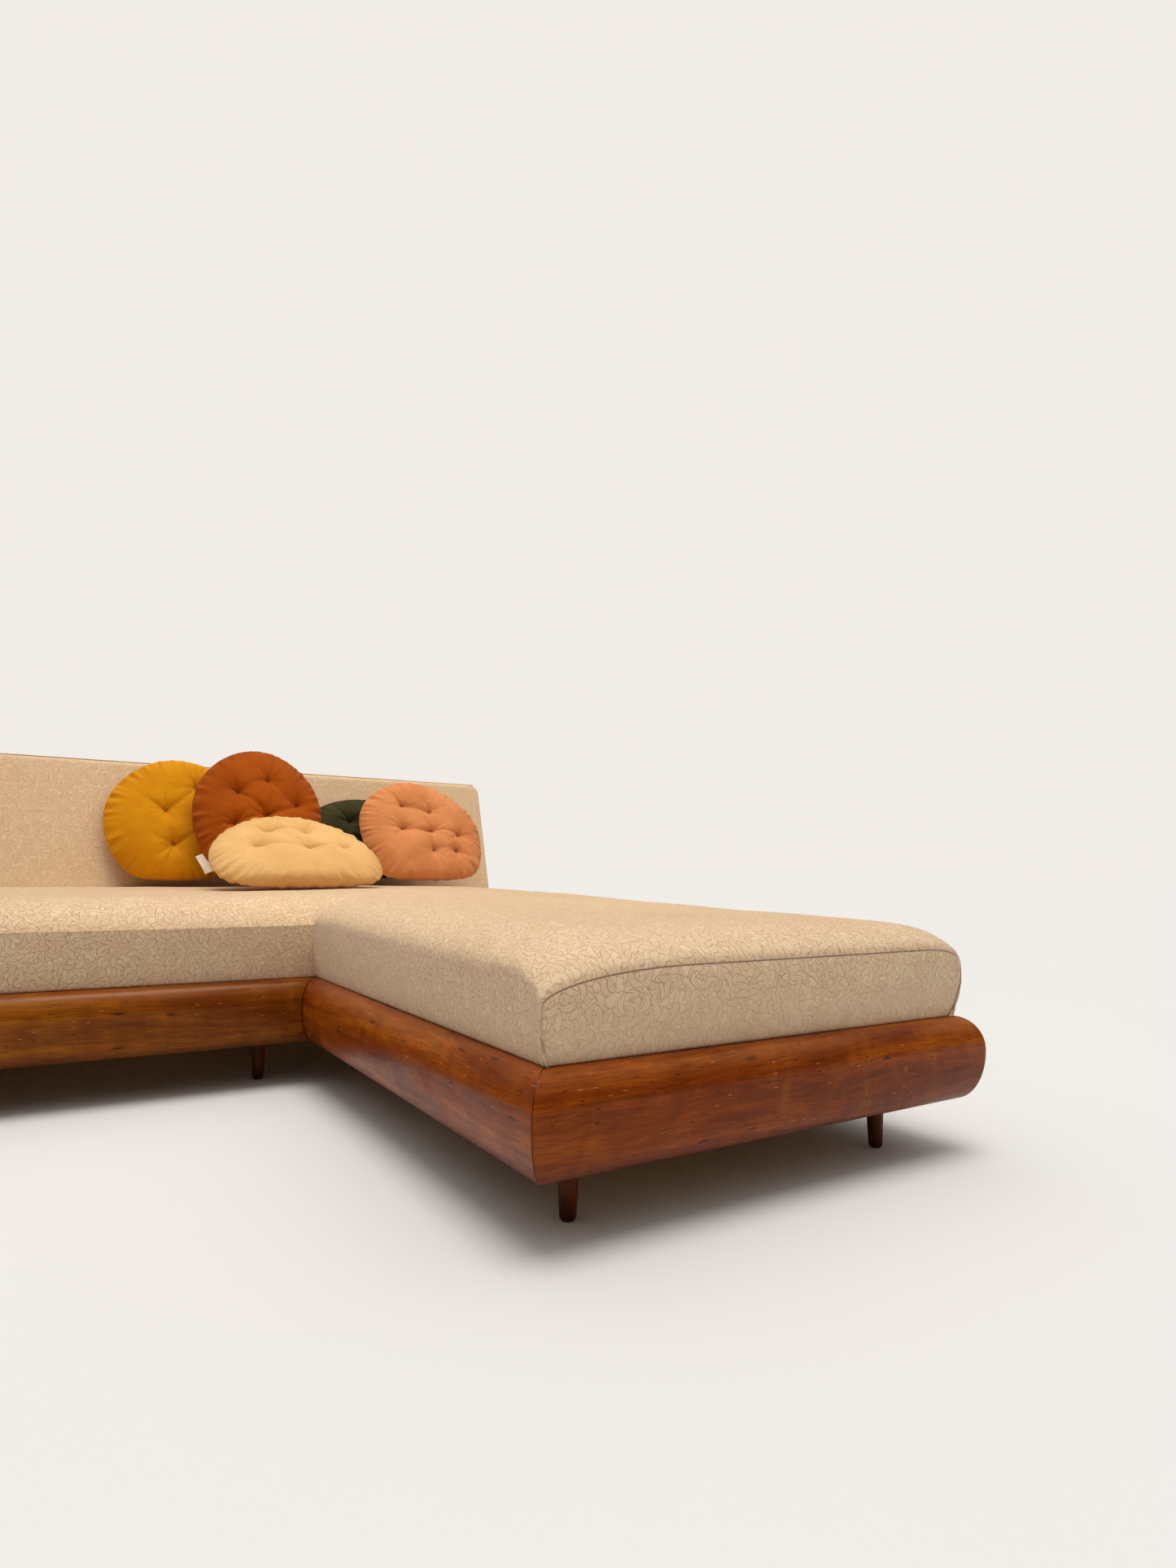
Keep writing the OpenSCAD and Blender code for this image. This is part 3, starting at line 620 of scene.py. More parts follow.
rail("chaise_front_rail_wood", "chaise_front_rail", (0, 0), (X_R, 0), (0, 1), 1, -1, M_WALNUT, 1.0, 0.0)
rail("chaise_inner_rail_wood", "chaise_inner_rail", (0, 0), (0, Y_S), (1, 0), 1, 1, M_WALNUT, 2.0, 1400.0)
rail("seat_front_rail_wood", "seat_front_rail", (X_L, Y_S), (0, Y_S), (0, 1), 1, 1, M_HONEY, 3.0, 3100.0)
rail("seat_end_rail_wood", "seat_end_rail", (X_L, Y_S), (X_L, Y_R), (1, 0), 1, -1, M_HONEY, 4.0, 5200.0)
rail("rear_rail_wood", "rear_rail", (X_L, Y_R), (X_R, Y_R), (0, -1), 1, -1, M_HONEY, 5.0, 7300.0)
rail("chaise_outer_rail_wood", "chaise_outer_rail", (X_R, 0), (X_R, Y_R), (-1, 0), 1, -1, M_WALNUT, 6.0, 9900.0)


# ---------------------------------------------------------------- legs
LEGS = [(132, 132), (763, 132), (-58, 1176), (-1473, 1176), (763, 1176), (-58, 1878), (-1473, 1878), (763, 1878)]


def legs():
    seg = 40
    prof = [(0.0, 2.0), (8.6, 2.0), (10.6, 2.5), (11.6, 4.0), (12.05, 6.5), (12.35, 12.0), (12.9, 24.0), (13.6, 40.0),
            (14.3, 56.0), (15.0, 72.0), (15.6, 84.0), (15.95, 92.0), (16.0, 97.0), (0.0, 97.0)]
    verts, faces, uvs = [], [], []
    for li, (cx, cy) in enumerate(LEGS):
        base = len(verts)
        rng = np.random.RandomState(50 + li)
        tilt = rng.uniform(-0.4, 0.4, 2)
        rings = []
        for (r, z) in prof:
            if r == 0.0:
                verts.append((cx, cy, z))
                rings.append([len(verts) - 1])
                continue
            ring = []
            for s in range(seg):
                a = 2 * math.pi * s / seg
                rr = r + 0.10 * math.sin(3 * a + li) * (z / 97.0)
                verts.append((cx + rr * math.cos(a), cy + rr * math.sin(a), z))
                ring.append(len(verts) - 1)
            rings.append(ring)
        for i in range(len(rings) - 1):
            a, b = rings[i], rings[i + 1]
            za, zb = prof[i][1], prof[i + 1][1]
            for s in range(seg):
                s2 = (s + 1) % seg
                ua, ub = 0.1 * s / seg, 0.1 * (s + 1) / seg
                if len(a) == 1:
                    faces.append((a[0], b[s2], b[s]))
                    uvs += [((za + li * 137) / 1000, ua), (zb / 1000 + li * 0.137, ub), (zb / 1000 + li * 0.137, ua)]
                elif len(b) == 1:
                    faces.append((a[s], a[s2], b[0]))
                    uvs += [(za / 1000 + li * 0.137, ua), (za / 1000 + li * 0.137, ub), (zb / 1000 + li * 0.137, ua)]
                else:
                    faces.append((a[s], a[s2], b[s2], b[s]))
                    uvs += [(za / 1000 + li * 0.137, ua), (za / 1000 + li * 0.137, ub), (zb / 1000 + li * 0.137, ub), (zb / 1000 + li * 0.137, ua)]
    o = mesh_object("turned_legs", cad(verts), faces, uvs)
    o.data.materials.append(M_LEG)
    o.data.set_sharp_from_angle(angle=math.radians(55))
    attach(o, "base")
    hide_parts("legs")
    return o


legs()


# ---------------------------------------------------------------- mattress
XC, YC = 26.0, 1069.0            # widest line of the two walls that meet at the inner corner
XE, YF = 870.0, 26.0             # right wall, front seam
XW = -1577.0                     # left end seam


def face_y(z):
    return BACK_Y0 + math.tan(RAKE) * (z - RAIL_Z1)


def top_z(x, y):
    """Height of the mattress top before its edges are rounded."""
    ym = [26, 30, 36, 46, 60, 78, 101, 150, 230, 350, 670, 1100, 1400, 1700, 1950]
    zm = [348, 355, 361.5, 369, 377, 384.5, 390.5, 396, 399.5, 401.5, 408.5, 417.5, 421.5, 422.5, 421.5]
    chaise = np.interp(y, ym, zm)
    chaise = chaise - 4.0 * smooth(450, 880, x) * smooth(200, 500, y)
    seat = 412.0 + 5.0 * smooth(1250, 1900, y) + 1.8 * (x / 400.0) * (np.abs(x) < 4000)
    seat = np.maximum(seat, 404.0)
    w = np.maximum(smooth(-160, 330, x), 1 - smooth(820, 1130, y))
    z = seat * (1 - w) + chaise * w
    # the left end falls to its own seam
    z = z - 30.0 * (1 - smooth(0, 75, x - XW)) - 10.0 * (1 - smooth(0, 14, x - XW))
    return z


def drop(o, a, b, n=2.0):
    t = np.clip(1 - o / a, 0, 1)
    return b * (1 - (1 - t ** n) ** (1 / n))


def arc_table(a, b, n):
    o = a * (1 - np.cos(np.linspace(0, math.pi / 2, 60)))
    z = drop(o, a, b, n)
    s = np.concatenate([[0], np.cumsum(np.hypot(np.diff(o), np.diff(z)))])
    return o, s


def mattress():
    # grid lines, close together at every rounded edge and at the seams
    el = XC + 150 * (1 - np.cos(np.linspace(0, math.pi / 2, 20)))
    er = XE - 190 * (1 - np.cos(np.linspace(0, math.pi / 2, 20)))
    xs_ch = np.concatenate([el, np.arange(el[-1] + 18, er[-1] - 9, 18.0), er[::-1]])
    xs_ch[1] = XC + 1.2
    left = XW + np.array([0, 2.5, 7, 13, 21, 31, 43, 58, 76, 98])
    near_c = XC - np.array([130, 112, 96, 82, 69, 57, 46, 36, 27, 19, 12, 6, 2.0])
    xs = np.concatenate([left, np.arange(left[-1] + 26, near_c[0] - 10, 26.0), near_c, xs_ch])
    ic = len(xs) - len(xs_ch)                                   # column of the inner corner
    ef = YF + np.array([0, 2.2, 5, 9, 14, 20, 28, 38, 50, 64, 80, 98, 118, 140])
    yc_before = YC - np.array([120, 104, 89, 75, 62, 50, 39, 29, 20, 12, 6, 2.0])
    es = YC + 150 * (1 - np.cos(np.linspace(0, math.pi / 2, 22)))
    es[1] = YC + 1.2
    yb = face_y(418.0) - 1.5
    eb = yb - np.array([60, 44, 31, 21, 13, 7, 3, 0.0])
    ys = np.concatenate([ef, np.arange(ef[-1] + 22, yc_before[0] - 8, 21.0), yc_before, es, np.arange(es[-1] + 20, eb[0] - 10, 20.0), eb])
    jc = int(np.argmin(np.abs(ys - YC)))
    nx, ny = len(xs), len(ys)

    gx, gy = np.meshgrid(xs, ys, indexing="ij")
    T = top_z(gx, gy)
    # left side of the chaise, and the front of the seat, round the inner corner
    dx, dy = gx - XC, gy - YC
    fr = smooth(0, 220, gy - YF)                                # 0 at the front seam
    a_l, b_l = 240 - 90 * fr, 42 + 20 * fr
    d_l = drop(np.maximum(dx, 0), a_l, b_l)
    d_s = drop(np.maximum(dy, 0), 150.0, 96.0)
    rad = np.hypot(np.maximum(dx, 0), np.maximum(dy, 0))
    ang = np.arctan2(np.maximum(dx, 0), np.maximum(dy, 0) + 1e-9) / (math.pi / 2)
    aa = 150.0 + 0 * ang
    bb = 96.0 * (1 - ang) + 62.0 * ang
    d_c = drop(rad, aa, bb)
    D = np.where(gy <= YC, d_l, np.where(gx <= XC, d_s, d_c))
    # right side
    orr = np.maximum(XE - gx, 0)
    a_r, b_r = 110 + 80 * fr, 30 + 44 * fr
    n_r = 2.6 - 0.6 * fr
    t = np.clip(1 - orr / a_r, 0, 1)
    D = D + b_r * (1 - (1 - t ** n_r) ** (1 / n_r))
    # back edge turns down where it meets the upright
    D = D + drop(np.maximum(yb - gy, 0), 34.0, 16.0)
    Z = T - D
    # slow uneven swelling of the top, none at the front seam and at the back edge;
    # front seam line: measured crown of the end panel
    P = np.stack([gx.ravel(), gy.ravel(), np.zeros(gx.size)], 1)
    soft = fbm(P, 420.0, 2, 4.0).reshape(gx.shape)
    soft2 = fbm(P, 130.0, 2, 9.0).reshape(gx.shape)
    live = smooth(2, 60, gy - YF) * smooth(0, 50, yb - gy)
    Z = Z + live * (2.2 * soft + 0.7 * soft2)
    # fold that runs in from the inner corner
    fx = np.array([26, 62, 110, 180, 248, 313, 390, 480])
    fy = np.array([1069, 1084, 1108, 1145, 1198, 1256, 1330, 1420])
    best = np.full(gx.shape, 1e9)
    side = np.zeros(gx.shape)
    along = np.zeros(gx.shape)
    s0 = 0.0
    for i in range(len(fx) - 1):
        ex, ey = fx[i + 1] - fx[i], fy[i + 1] - fy[i]
        L = math.hypot(ex, ey)
        tt = np.clip(((gx - fx[i]) * ex + (gy - fy[i]) * ey) / L ** 2, 0, 1)
        px, py = gx - (fx[i] + tt * ex), gy - (fy[i] + tt * ey)
        dd = np.hypot(px, py)
        m = dd < best
        best = np.where(m, dd, best)
        side = np.where(m, np.sign(ex * py - ey * px), side)
        along = np.where(m, s0 + tt * L, along)
        s0 += L
    amp = np.exp(-along / 210.0) * smooth(0, 25, along)
    Z = Z - 7.5 * amp * np.exp(-(best / 13.0) ** 2) + 3.5 * amp * np.exp(-((best - 26) / 16.0) ** 2)
    # a second, shorter pucker beside it
    Z = Z - 2.6 * np.exp(-((gx - XC - 0.15 * (gy - YC) - 46) / 11.0) ** 2) * np.exp(-((gy - YC - 70) / 60.0) ** 2) * (gy > YC)

    K = 18                                                     # rows down each wall
    kk = (1 - np.cos(np.linspace(0, math.pi, K + 1))) / 2 * 0.55 + np.linspace(0, 1, K + 1) * 0.45
    keep = np.ones((nx, ny), bool)
    keep[:ic, :jc] = False
    idx = -np.ones((nx, ny), int)
    verts, U, V, seam, fade = [], [], [], [], []
    # flat-cloth coordinates
    oc, sc = arc_table(150.0, 66.0, 2.0)
    orr_t, sr = arc_table(190.0, 74.0, 2.0)
    osf, ssf = arc_table(150.0, 96.0, 2.0)

    def extra(o, ot, st):
        o = np.clip(o, 0, ot[-1])
        return np.interp(o, ot, st) - o

    def flat_uv(x, y):
        # length gained going over each rounded edge, faded out round the inner corner
        wl = 1 - smooth(0, 140, y - YC)
        ws = 1 - smooth(0, 160, x - XC)
        u = x - (extra(150.0, oc, sc) - extra(x - XC, oc, sc)) * wl * (x >= XC)
        u = u + (extra(190.0, orr_t, sr) - extra(XE - x, orr_t, sr))
        v = y - (extra(150.0, osf, ssf) - extra(y - YC, osf, ssf)) * ws * (y >= YC)
        return u, v

    for i in range(nx):
        for j in range(ny):
            if not keep[i, j]:
                continue
            x, y, z = gx[i, j], gy[i, j], Z[i, j]
            if j == ny - 1:
                y = face_y(z) - 1.5
            idx[i, j] = len(verts)
            verts.append([x, y, z])
            u, v = flat_uv(x, y)
            U.append(u)
            V.append(v)
            sd = y - YF if i >= ic else 1e3
            sd = min(sd, abs(x - XW)) if j >= jc else sd
            # the seam turns down at both front corners
            seam.append(sd)
            fade.append(0.30 * float(np.clip((z - 330) / 60, 0, 1)) if False else 0.0)
    # boundary loop, anticlockwise from above
    loop = [(i, 0) for i in range(ic, nx)] + [(nx - 1, j) for j in range(1, ny)] + [(i, ny - 1) for i in range(nx - 2, -1, -1)] \
        + [(0, j) for j in range(ny - 2, jc - 1, -1)] + [(i, jc) for i in range(1, ic + 1)] + [(ic, j) for j in range(jc - 1, 0, -1)]
    n_loop = len(loop)
    faces, cuv = [], []

    def add_face(ids, uv):
        faces.append(ids)
        cuv.extend(uv)

    def vuv(k):
        return (U[k] / 1000, V[k] / 1000)

    for i in range(nx - 1):
        for j in range(ny - 1):
            q = [idx[i, j], idx[i + 1, j], idx[i + 1, j + 1], idx[i, j + 1]]
            if min(q) < 0:
                continue
            add_face(q, [vuv(k) for k in q])
    # walls
    zb = 231.8
    cols = []
    wall_uv = {}
    rngw = np.random.RandomState(3)
    x_in, y_in = 38.0, 1082.0
    loop_side = []
    for (i, j) in loop:
        if j == 0:
            loop_side.append("front")
        elif i == nx - 1:
            loop_side.append("right")
        elif j == ny - 1:
            loop_side.append("rear")
        elif i == 0:
            loop_side.append("end")
        elif j == jc and i <= ic:
            loop_side.append("seat")
        else:
            loop_side.append("left")
    for n_, (i, j) in enumerate(loop):
        x0, y0, z0 = verts[idx[i, j]]
        col = [idx[i, j]]
        h = z0 - zb
        for k in range(1, K + 1):
            t = kk[k]
            z = z0 - h * t
            # how far in from the widest line, bottom tucked in
            tuck = t ** 2.2
            x, y = x0, y0
            # plan positions: each side pulls in towards its own foot line
            if i == nx - 1:
                x = x0 - 25.0 * tuck + 3.0 * math.sin(math.pi * min(1, t * 1.25)) * (1 if t < 0.8 else 0)
            if j == 0:
                fx_ = np.clip((x0 - XC) / (XE - XC), 0, 1)
                y = y0 + 12.0 * tuck - 7.0 * math.sin(math.pi * t) * min(1.0, 4.2 * fx_, 4.2 * (1 - fx_))
                # corners of the panel pull in towards the foot line
                x = x + 12.0 * tuck * (1 - fx_) ** 3 - (25.0 * tuck * fx_ ** 3 if i != nx - 1 else 0.0)
            if i == ic and j <= jc:
                if j > 0:
                    x = x0 + 12.0 * tuck
                # near the inner corner the wall stretches back to the corner's foot
                y = y + 13.0 * tuck * smooth(YC - 90, YC, y0)
                if j == 0:
                    x = x0 + 12.0 * tuck
            if j == jc and i <= ic:
                if i < ic:
                    y = y0 + 13.0 * tuck
                    x = x + 12.0 * tuck * smooth(XC - 90, XC, x0) + 8.0 * tuck * (i == 0)
                else:
                    x, y = x0 + 12.0 * tuck, y0 + 13.0 * tuck
            if i == 0 and j >= jc:
                x = x0 + 8.0 * tuck - 5.0 * math.sin(math.pi * t) * (1 if 0 < j < ny - 1 else 0)
            if j == ny - 1:
                y = face_y(z) - 1.5
            verts.append([x, y, z])
            col.append(len(verts) - 1)
            s = loop_side[n_]
            down = h * t
            corner_f = math.hypot(x0 - XC, 0) if j == 0 else 1e3
            sd = 1e3
            if s == "front":
                sd = min(z0 - z, abs(x0 - XC) if i <= ic + 14 else 1e3, abs(XE - x0) if i >= nx - 15 else 1e3)
                if i == ic or i == nx - 1:
                    sd = 0.0
            elif s == "left":
                sd = y0 - YF
            elif s == "right":
                sd = y0 - YF
            elif s == "end":
                sd = min(z0 - z, y0 - YC)
            elif s == "seat":
                sd = x0 - XW
            seam.append(sd)
            fade.append(float(smooth(0.15, 0.75, t)) if s in ("front",) else float(0.55 * smooth(0.2, 0.8, t)) if s in ("left", "right") else 0.0)
            U.append(0.0)
            V.append(0.0)
        cols.append(col)
    # cloth coordinates on the walls, given per corner so that seams can break
    cut = {"front": 0, "left": 0, "right": 0, "rear": 0, "seat": 0, "end": 0}
    for n_ in range(n_loop):
        n2 = (n_ + 1) % n_loop
        (i1, j1), (i2, j2) = loop[n_], loop[n2]
        if j1 == 0 and j2 == 0:
            s = "front"
        elif i1 == nx - 1 and i2 == nx - 1:
            s = "right"
        elif j1 == ny - 1 and j2 == ny - 1:
            s = "rear"
        elif i1 == 0 and i2 == 0:
            s = "end"
        elif j1 == jc and j2 == jc:
            s = "seat"
        else:
            s = "left"

        def wuv(n3, k):
            (i, j) = loop[n3]
            vi = cols[n3][k]
            x, y, z = verts[vi]
            b = cols[n3][0]
            zt = verts[b][2]
            if s == "front":
                return (x / 1000 + 5.0, z / 1000 + 3.0)
            if s == "rear":
                return (x / 1000 + 8.0, z / 1000 + 3.0)
            if s == "end":
                return (-y / 1000 + 12.0, z / 1000 + 3.0)
            u0, v0 = flat_uv(verts[b][0], verts[b][1])
            if s == "left":
                return ((u0 - (zt - z)) / 1000, y / 1000)
            if s == "right":
                return ((u0 + (zt - z)) / 1000, y / 1000)
            return (x / 1000, (v0 - (zt - z)) / 1000)
        for k in range(K):
            f = [cols[n_][k], cols[n_][k + 1], cols[n2][k + 1], cols[n2][k]]
            add_face(f, [wuv(n_, k), wuv(n_, k + 1), wuv(n2, k + 1), wuv(n2, k)])
    # bottom: the same grid, drawn in to the foot line
    bidx = -np.ones((nx, ny), int)
    for n_, (i, j) in enumerate(loop):
        bidx[i, j] = cols[n_][K]
    for i in range(nx):
        for j in range(ny):
            if keep[i, j] and bidx[i, j] < 0:
                x, y = xs[i], ys[j]
                # follow the neighbours on the boundary so that no face folds over
                if j > jc or i >= ic:
                    fx_ = np.interp(x, [XW, XW + 60, XC - 90, XC, XC + 90, XE - 60, XE], [XW + 8, XW + 60, XC - 90, XC + 12, XC + 92, XE - 62, XE - 25])
                    fy_ = np.interp(y, [YF, YF + 50, YC - 90, YC, YC + 90, yb - 80, yb], [YF + 12, YF + 50, YC - 90, YC + 13, YC + 92, yb - 122, face_y(zb) - 1.5])
                    x, y = fx_, fy_
                bidx[i, j] = len(verts)
                verts.append([x, y, zb])
                seam.append(1e3)
                fade.append(1.0)
                U.append(0.0)
                V.append(0.0)
    for i in range(nx - 1):
        for j in range(ny - 1):
            q = [bidx[i, j], bidx[i, j + 1], bidx[i + 1, j + 1], bidx[i + 1, j]]
            if min(q) < 0:
                continue
            add_face(q, [(verts[k][0] / 1000 + 20, verts[k][1] / 1000) for k in q])

    P = np.array(verts)
    seam = np.minimum(np.array(seam, float), 200.0)
    # soft body of the panels: slow swelling, and short pulls beside the upright seam
    nrm = np.zeros_like(P)
    for f in faces:
        a, b, c, d = P[f[0]], P[f[1]], P[f[2]], P[f[3]]
        n = np.cross(c - a, d - b)
        for v in f:
            nrm[v] += n
    nrm /= np.maximum(np.linalg.norm(nrm, axis=1), 1e-9)[:, None]
    wall = np.zeros(len(P), bool)
    tw = np.zeros(len(P))
    for c in cols:
        wall[c[1:K]] = True
        tw[c[1:K]] = kk[1:K]
    low_n = fbm(P, 190.0, 2, 13.0)
    front = wall & (P[:, 1] < YF + 16)
    side_l = wall & (np.abs(P[:, 0] - XC) < 18) & (P[:, 1] < YC + 20) & ~front
    dz = np.zeros(len(P))
    env = np.sin(np.pi * tw)                                    # nothing at the top and foot lines
    dz += np.where(wall, 1.6 * low_n * env, 0)
    # pulls beside the left upright seam of the end panel: short, nearly level, uneven
    near_l = np.exp(-np.maximum(P[:, 0] - XC, 0) / 34.0)
    pulls = np.sin(P[:, 2] / 4.9 + 1.7 * np.sin(P[:, 2] / 17.0) + (P[:, 0] - XC) / 26.0)
    dz += np.where(front, 1.0 * near_l * pulls * env, 0)
    near_r = np.exp(-np.maximum(XE - 12 - P[:, 0], 0) / 30.0)
    dz += np.where(front, 0.5 * near_r * np.sin(P[:, 2] / 5.6 + 1.1) * env, 0)
    # long shallow drag lines low on the end panel and the seat front
    drag = np.sin(P[:, 2] / 9.0 + P[:, 0] / 140.0 + 2.0 * fbm(P * np.array([0.25, 1, 1]), 120.0, 2, 21.0))
    dz += np.where(front, 0.55 * drag * env * (1 - near_l), 0)
    sidepull = np.exp(-np.maximum(P[:, 1] - YF, 0) / 40.0)
    dz += np.where(side_l, 0.6 * sidepull * np.sin(P[:, 2] / 5.4) * env, 0)
    # creases where the wall runs into the inner corner
    cr = np.exp(-np.maximum(YC - P[:, 1], 0) / 26.0)
    dz += np.where(side_l, 1.8 * cr * np.sin((YC - P[:, 1]) / 6.0 + 0.8) * env, 0)
    seat_w = wall & (np.abs(P[:, 1] - YC) < 18) & (P[:, 0] < XC)
    cr2 = np.exp(-np.maximum(XC - P[:, 0], 0) / 30.0)
    dz += np.where(seat_w, 1.2 * cr2 * np.sin((XC - P[:, 0]) / 7.0) * env, 0)
    dz += np.where(seat_w, 0.9 * np.sin(P[:, 0] / 95.0 + 2.2 * fbm(P, 240.0, 2, 31.0)) * env, 0)
    # sewn-in groove
    dz += -1.1 * np.exp(-(seam / 1.9) ** 2) + 0.7 * np.exp(-((seam - 9.0) / 5.0) ** 2) * (seam > 0)
    P = P + nrm * dz[:, None]
    # nothing below the top of the rails
    P[:, 2] = np.maximum(P[:, 2], zb)
    ob = mesh_object("mattress", cad(P), faces, cuv, True, {"seam": seam, "fade": fade})
    ob.data.materials.append(M_CLOTH)
    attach(ob, "mattress")
    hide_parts("mattress_cover", "chaise_core", "seat_core")
    return ob


MATTRESS = mattress()


# ---------------------------------------------------------------- back
def back():
    x0, x1 = X_L + 5.0, X_R - 5.0
    X = (x1 - x0) / 2
    S = (BACK_TOP - (RAIL_Z1 + 1)) / math.cos(RAKE) / 2 - 3.0
    N = BACK_T / 2
    R, r = 34.0, 17.0

    def lines(half, mid, edge):
        a = half - edge * (1 - np.cos(np.linspace(0, math.pi / 2, 12)))
        b = -a[::-1]
        m = np.linspace(b[-1], a[-1], mid)[1:-1]
        return np.unique(np.round(np.concatenate([np.sort(b), m, np.sort(a)]), 4))
    lx, ls, ln = lines(X, 96, R + 6), lines(S, 30, R + 6), lines(N, 6, r + 2)
    vid, verts, faces = {}, [], []

    def v(p):
        key = tuple(np.round(p, 3))
        if key not in vid:
            vid[key] = len(verts)
            verts.append(p)
        return vid[key]

    def patch(A, B, fixed, order, flip):
        for a in range(len(A) - 1):
            for b in range(len(B) - 1):
                q = []
                for (aa, bb) in ((a, b), (a + 1, b), (a + 1, b + 1), (a, b + 1)):
                    p = [0, 0, 0]
                    p[order[0]], p[order[1]], p[order[2]] = A[aa], B[bb], fixed
                    q.append(v(tuple(p)))
                faces.append(q[::-1] if flip else q)
    patch(lx, ls, -N, (0, 1, 2), True)
    patch(lx, ls, N, (0, 1, 2), False)
    patch(lx, ln, -S, (0, 2, 1), False)
    patch(lx, ln, S, (0, 2, 1), True)
    patch(ls, ln, -X, (1, 2, 0), True)
    patch(ls, ln, X, (1, 2, 0), False)
    P = np.array(verts, float)
    x, s, n = P[:, 0].copy(), P[:, 1].copy(), P[:, 2].copy()
    # rounded corners in elevation, only at the top
    cornr = (np.abs(x) > X - R) & (s > S - R)
    vx, vs = np.abs(x) - (X - R), s - (S - R)
    mx = np.maximum(vx, vs)
    ln_ = np.maximum(np.hypot(vx, vs), 1e-9)
    nx_, ns_ = (X - R) + vx / ln_ * mx, (S - R) + vs / ln_ * mx
    off = np.minimum(X - np.abs(x), np.where(s > 0, S - s, S + s))
    off = np.where(cornr, R - mx, off)
    gx = np.where(cornr, np.sign(x) * vx / ln_, np.where(X - np.abs(x) <= np.where(s > 0, S - s, S + s), np.sign(x), 0.0))
    gs = np.where(cornr, vs / ln_, np.where(X - np.abs(x) <= np.where(s > 0, S - s, S + s), 0.0, np.sign(s)))
    x = np.where(cornr, np.sign(x) * nx_, x)
    s = np.where(cornr, ns_, s)
    rim = (off < r) & (np.abs(n) > N - r)
    vo, vn = r - off, np.abs(n) - (N - r)
    mm = np.maximum(vo, vn)
    l2 = np.maximum(np.hypot(vo, vn), 1e-9)
    no, nn = r - vo / l2 * mm, (N - r) + vn / l2 * mm
    dlt = np.where(rim, no - off, 0.0)
    x = x - gx * dlt
    s = s - gs * dlt
    n = np.where(rim, np.sign(n) * nn, n)
    # crown of the padding, tight cover
    crown = (1 - np.abs(x / X) ** 10) * (1 - np.abs(s / S) ** 4)
    n = n - 3.5 * crown * (n < 0) * smooth(0, N, -n)
    W = np.stack([x, s, n], 1)
    lf = fbm(W, 330.0, 2, 5.0)
    n = n - 1.2 * lf * (n < 0) * crown
    # seam round the end panels: the cover is wrapped over the top and closed at each end
    seam = np.abs(np.abs(P[:, 0]) - X)
    seam = np.where((np.abs(P[:, 0]) > X - 0.01), np.minimum(N - np.abs(P[:, 2]), S - P[:, 1]), seam)
    seam = np.where(np.abs(P[:, 2]) >= N - 0.01, np.maximum(off, 0.0), seam)
    fade = 0.15 + 0 * seam
    # to layout: n is along the outward rear normal, s up the slope
    cx = (x0 + x1) / 2
    base = np.array([cx, BACK_Y0, RAIL_Z1 + 1.0])
    up = np.array([0, math.sin(RAKE), math.cos(RAKE)])
    nr = np.array([0, math.cos(RAKE), -math.sin(RAKE)])
    out = base + np.outer(x, [1, 0, 0]) + np.outer(s + S, up) + np.outer(n + N, nr)
    # the foot sits level on the rail
    out[:, 2] = np.maximum(out[:, 2], RAIL_Z1 + 1.0)
    cuv = []
    for f in faces:
        for k in f:
            if abs(P[f[0]][2]) >= N - 1e-6 and all(abs(abs(P[q][2]) - N) < 1e-6 for q in f):
                side = 0.0 if P[f[0]][2] < 0 else 6.0
                cuv.append((P[k][0] / 1000 + 30 + side, P[k][1] / 1000))
            elif all(abs(abs(P[q][0]) - X) < 1e-6 for q in f):
                cuv.append((P[k][2] / 1000 + 50, P[k][1] / 1000))
            else:
                cuv.append((P[k][0] / 1000 + 30, (P[k][1] + N + P[k][2]) / 1000))
    ob = mesh_object("back_upholstery", cad(out), faces, cuv, True, {"seam": np.full(len(P), 200.0), "fade": fade})
    me = ob.data
    me.materials.append(M_BACK)
    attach(ob, "base")
    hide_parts("back_cover", "back_foam")
    return ob


back()


# ---------------------------------------------------------------- scatter cushions
# centre (layout mm), tilt from vertical, half width, half height, flat base
CUSHIONS = {
    "mustard": dict(at=(-158, 1953, 610), tilt=17.4, a=197, b=200, flat=0.94, seed=1, sq=2.2, lean=0.0,
                    tufts=[(50, 103), (-34, 26), (-12, -80), (90, -15)], links=[(0, 1), (1, 2), (2, 3), (3, 0)]),
    "rust": dict(at=(54, 1852, 631), tilt=17.4, a=190, b=214, flat=0.97, seed=2, sq=2.0, lean=0.0,
                 tufts=[(20, -6), (-63, 67), (25, 112), (111, 31), (-71, -36), (72, -96), (-18, -112)],
                 links=[(0, 1), (0, 2), (0, 3), (0, 4), (1, 2), (2, 3), (4, 1), (0, 5), (0, 6)]),
    "green": dict(at=(400, 1912, 566), tilt=17.4, a=208, b=148, flat=0.90, seed=3, sq=2.3, lean=0.0,
                  tufts=[(0, 0), (-92, 2), (94, -2), (-46, 58), (48, 56), (-44, -58), (46, -60)],
                  links=[(0, 1), (0, 2), (3, 4), (5, 6)]),
    "peach": dict(at=(564, 1807, 594), tilt=25.0, a=209, b=186, flat=0.92, seed=4, sq=2.7, lean=-0.16,
                  tufts=[(-65, 89), (30, 68), (-73, 3), (27, -3), (122, -15), (24, -74), (106, -74)],
                  links=[(0, 1), (2, 3), (3, 4), (5, 6)]),
    "cream": dict(at=(104, 1592, 522), tilt=60.0, a=232, b=185, flat=0.97, seed=5, sq=3.0, lean=0.0, low=-62.0,
                  tufts=[(-70, 62), (39, 58), (-109, -25), (27, -29), (134, -20)],
                  links=[(0, 1), (2, 3), (3, 4)]),
}
CUSHION_T = 92.0
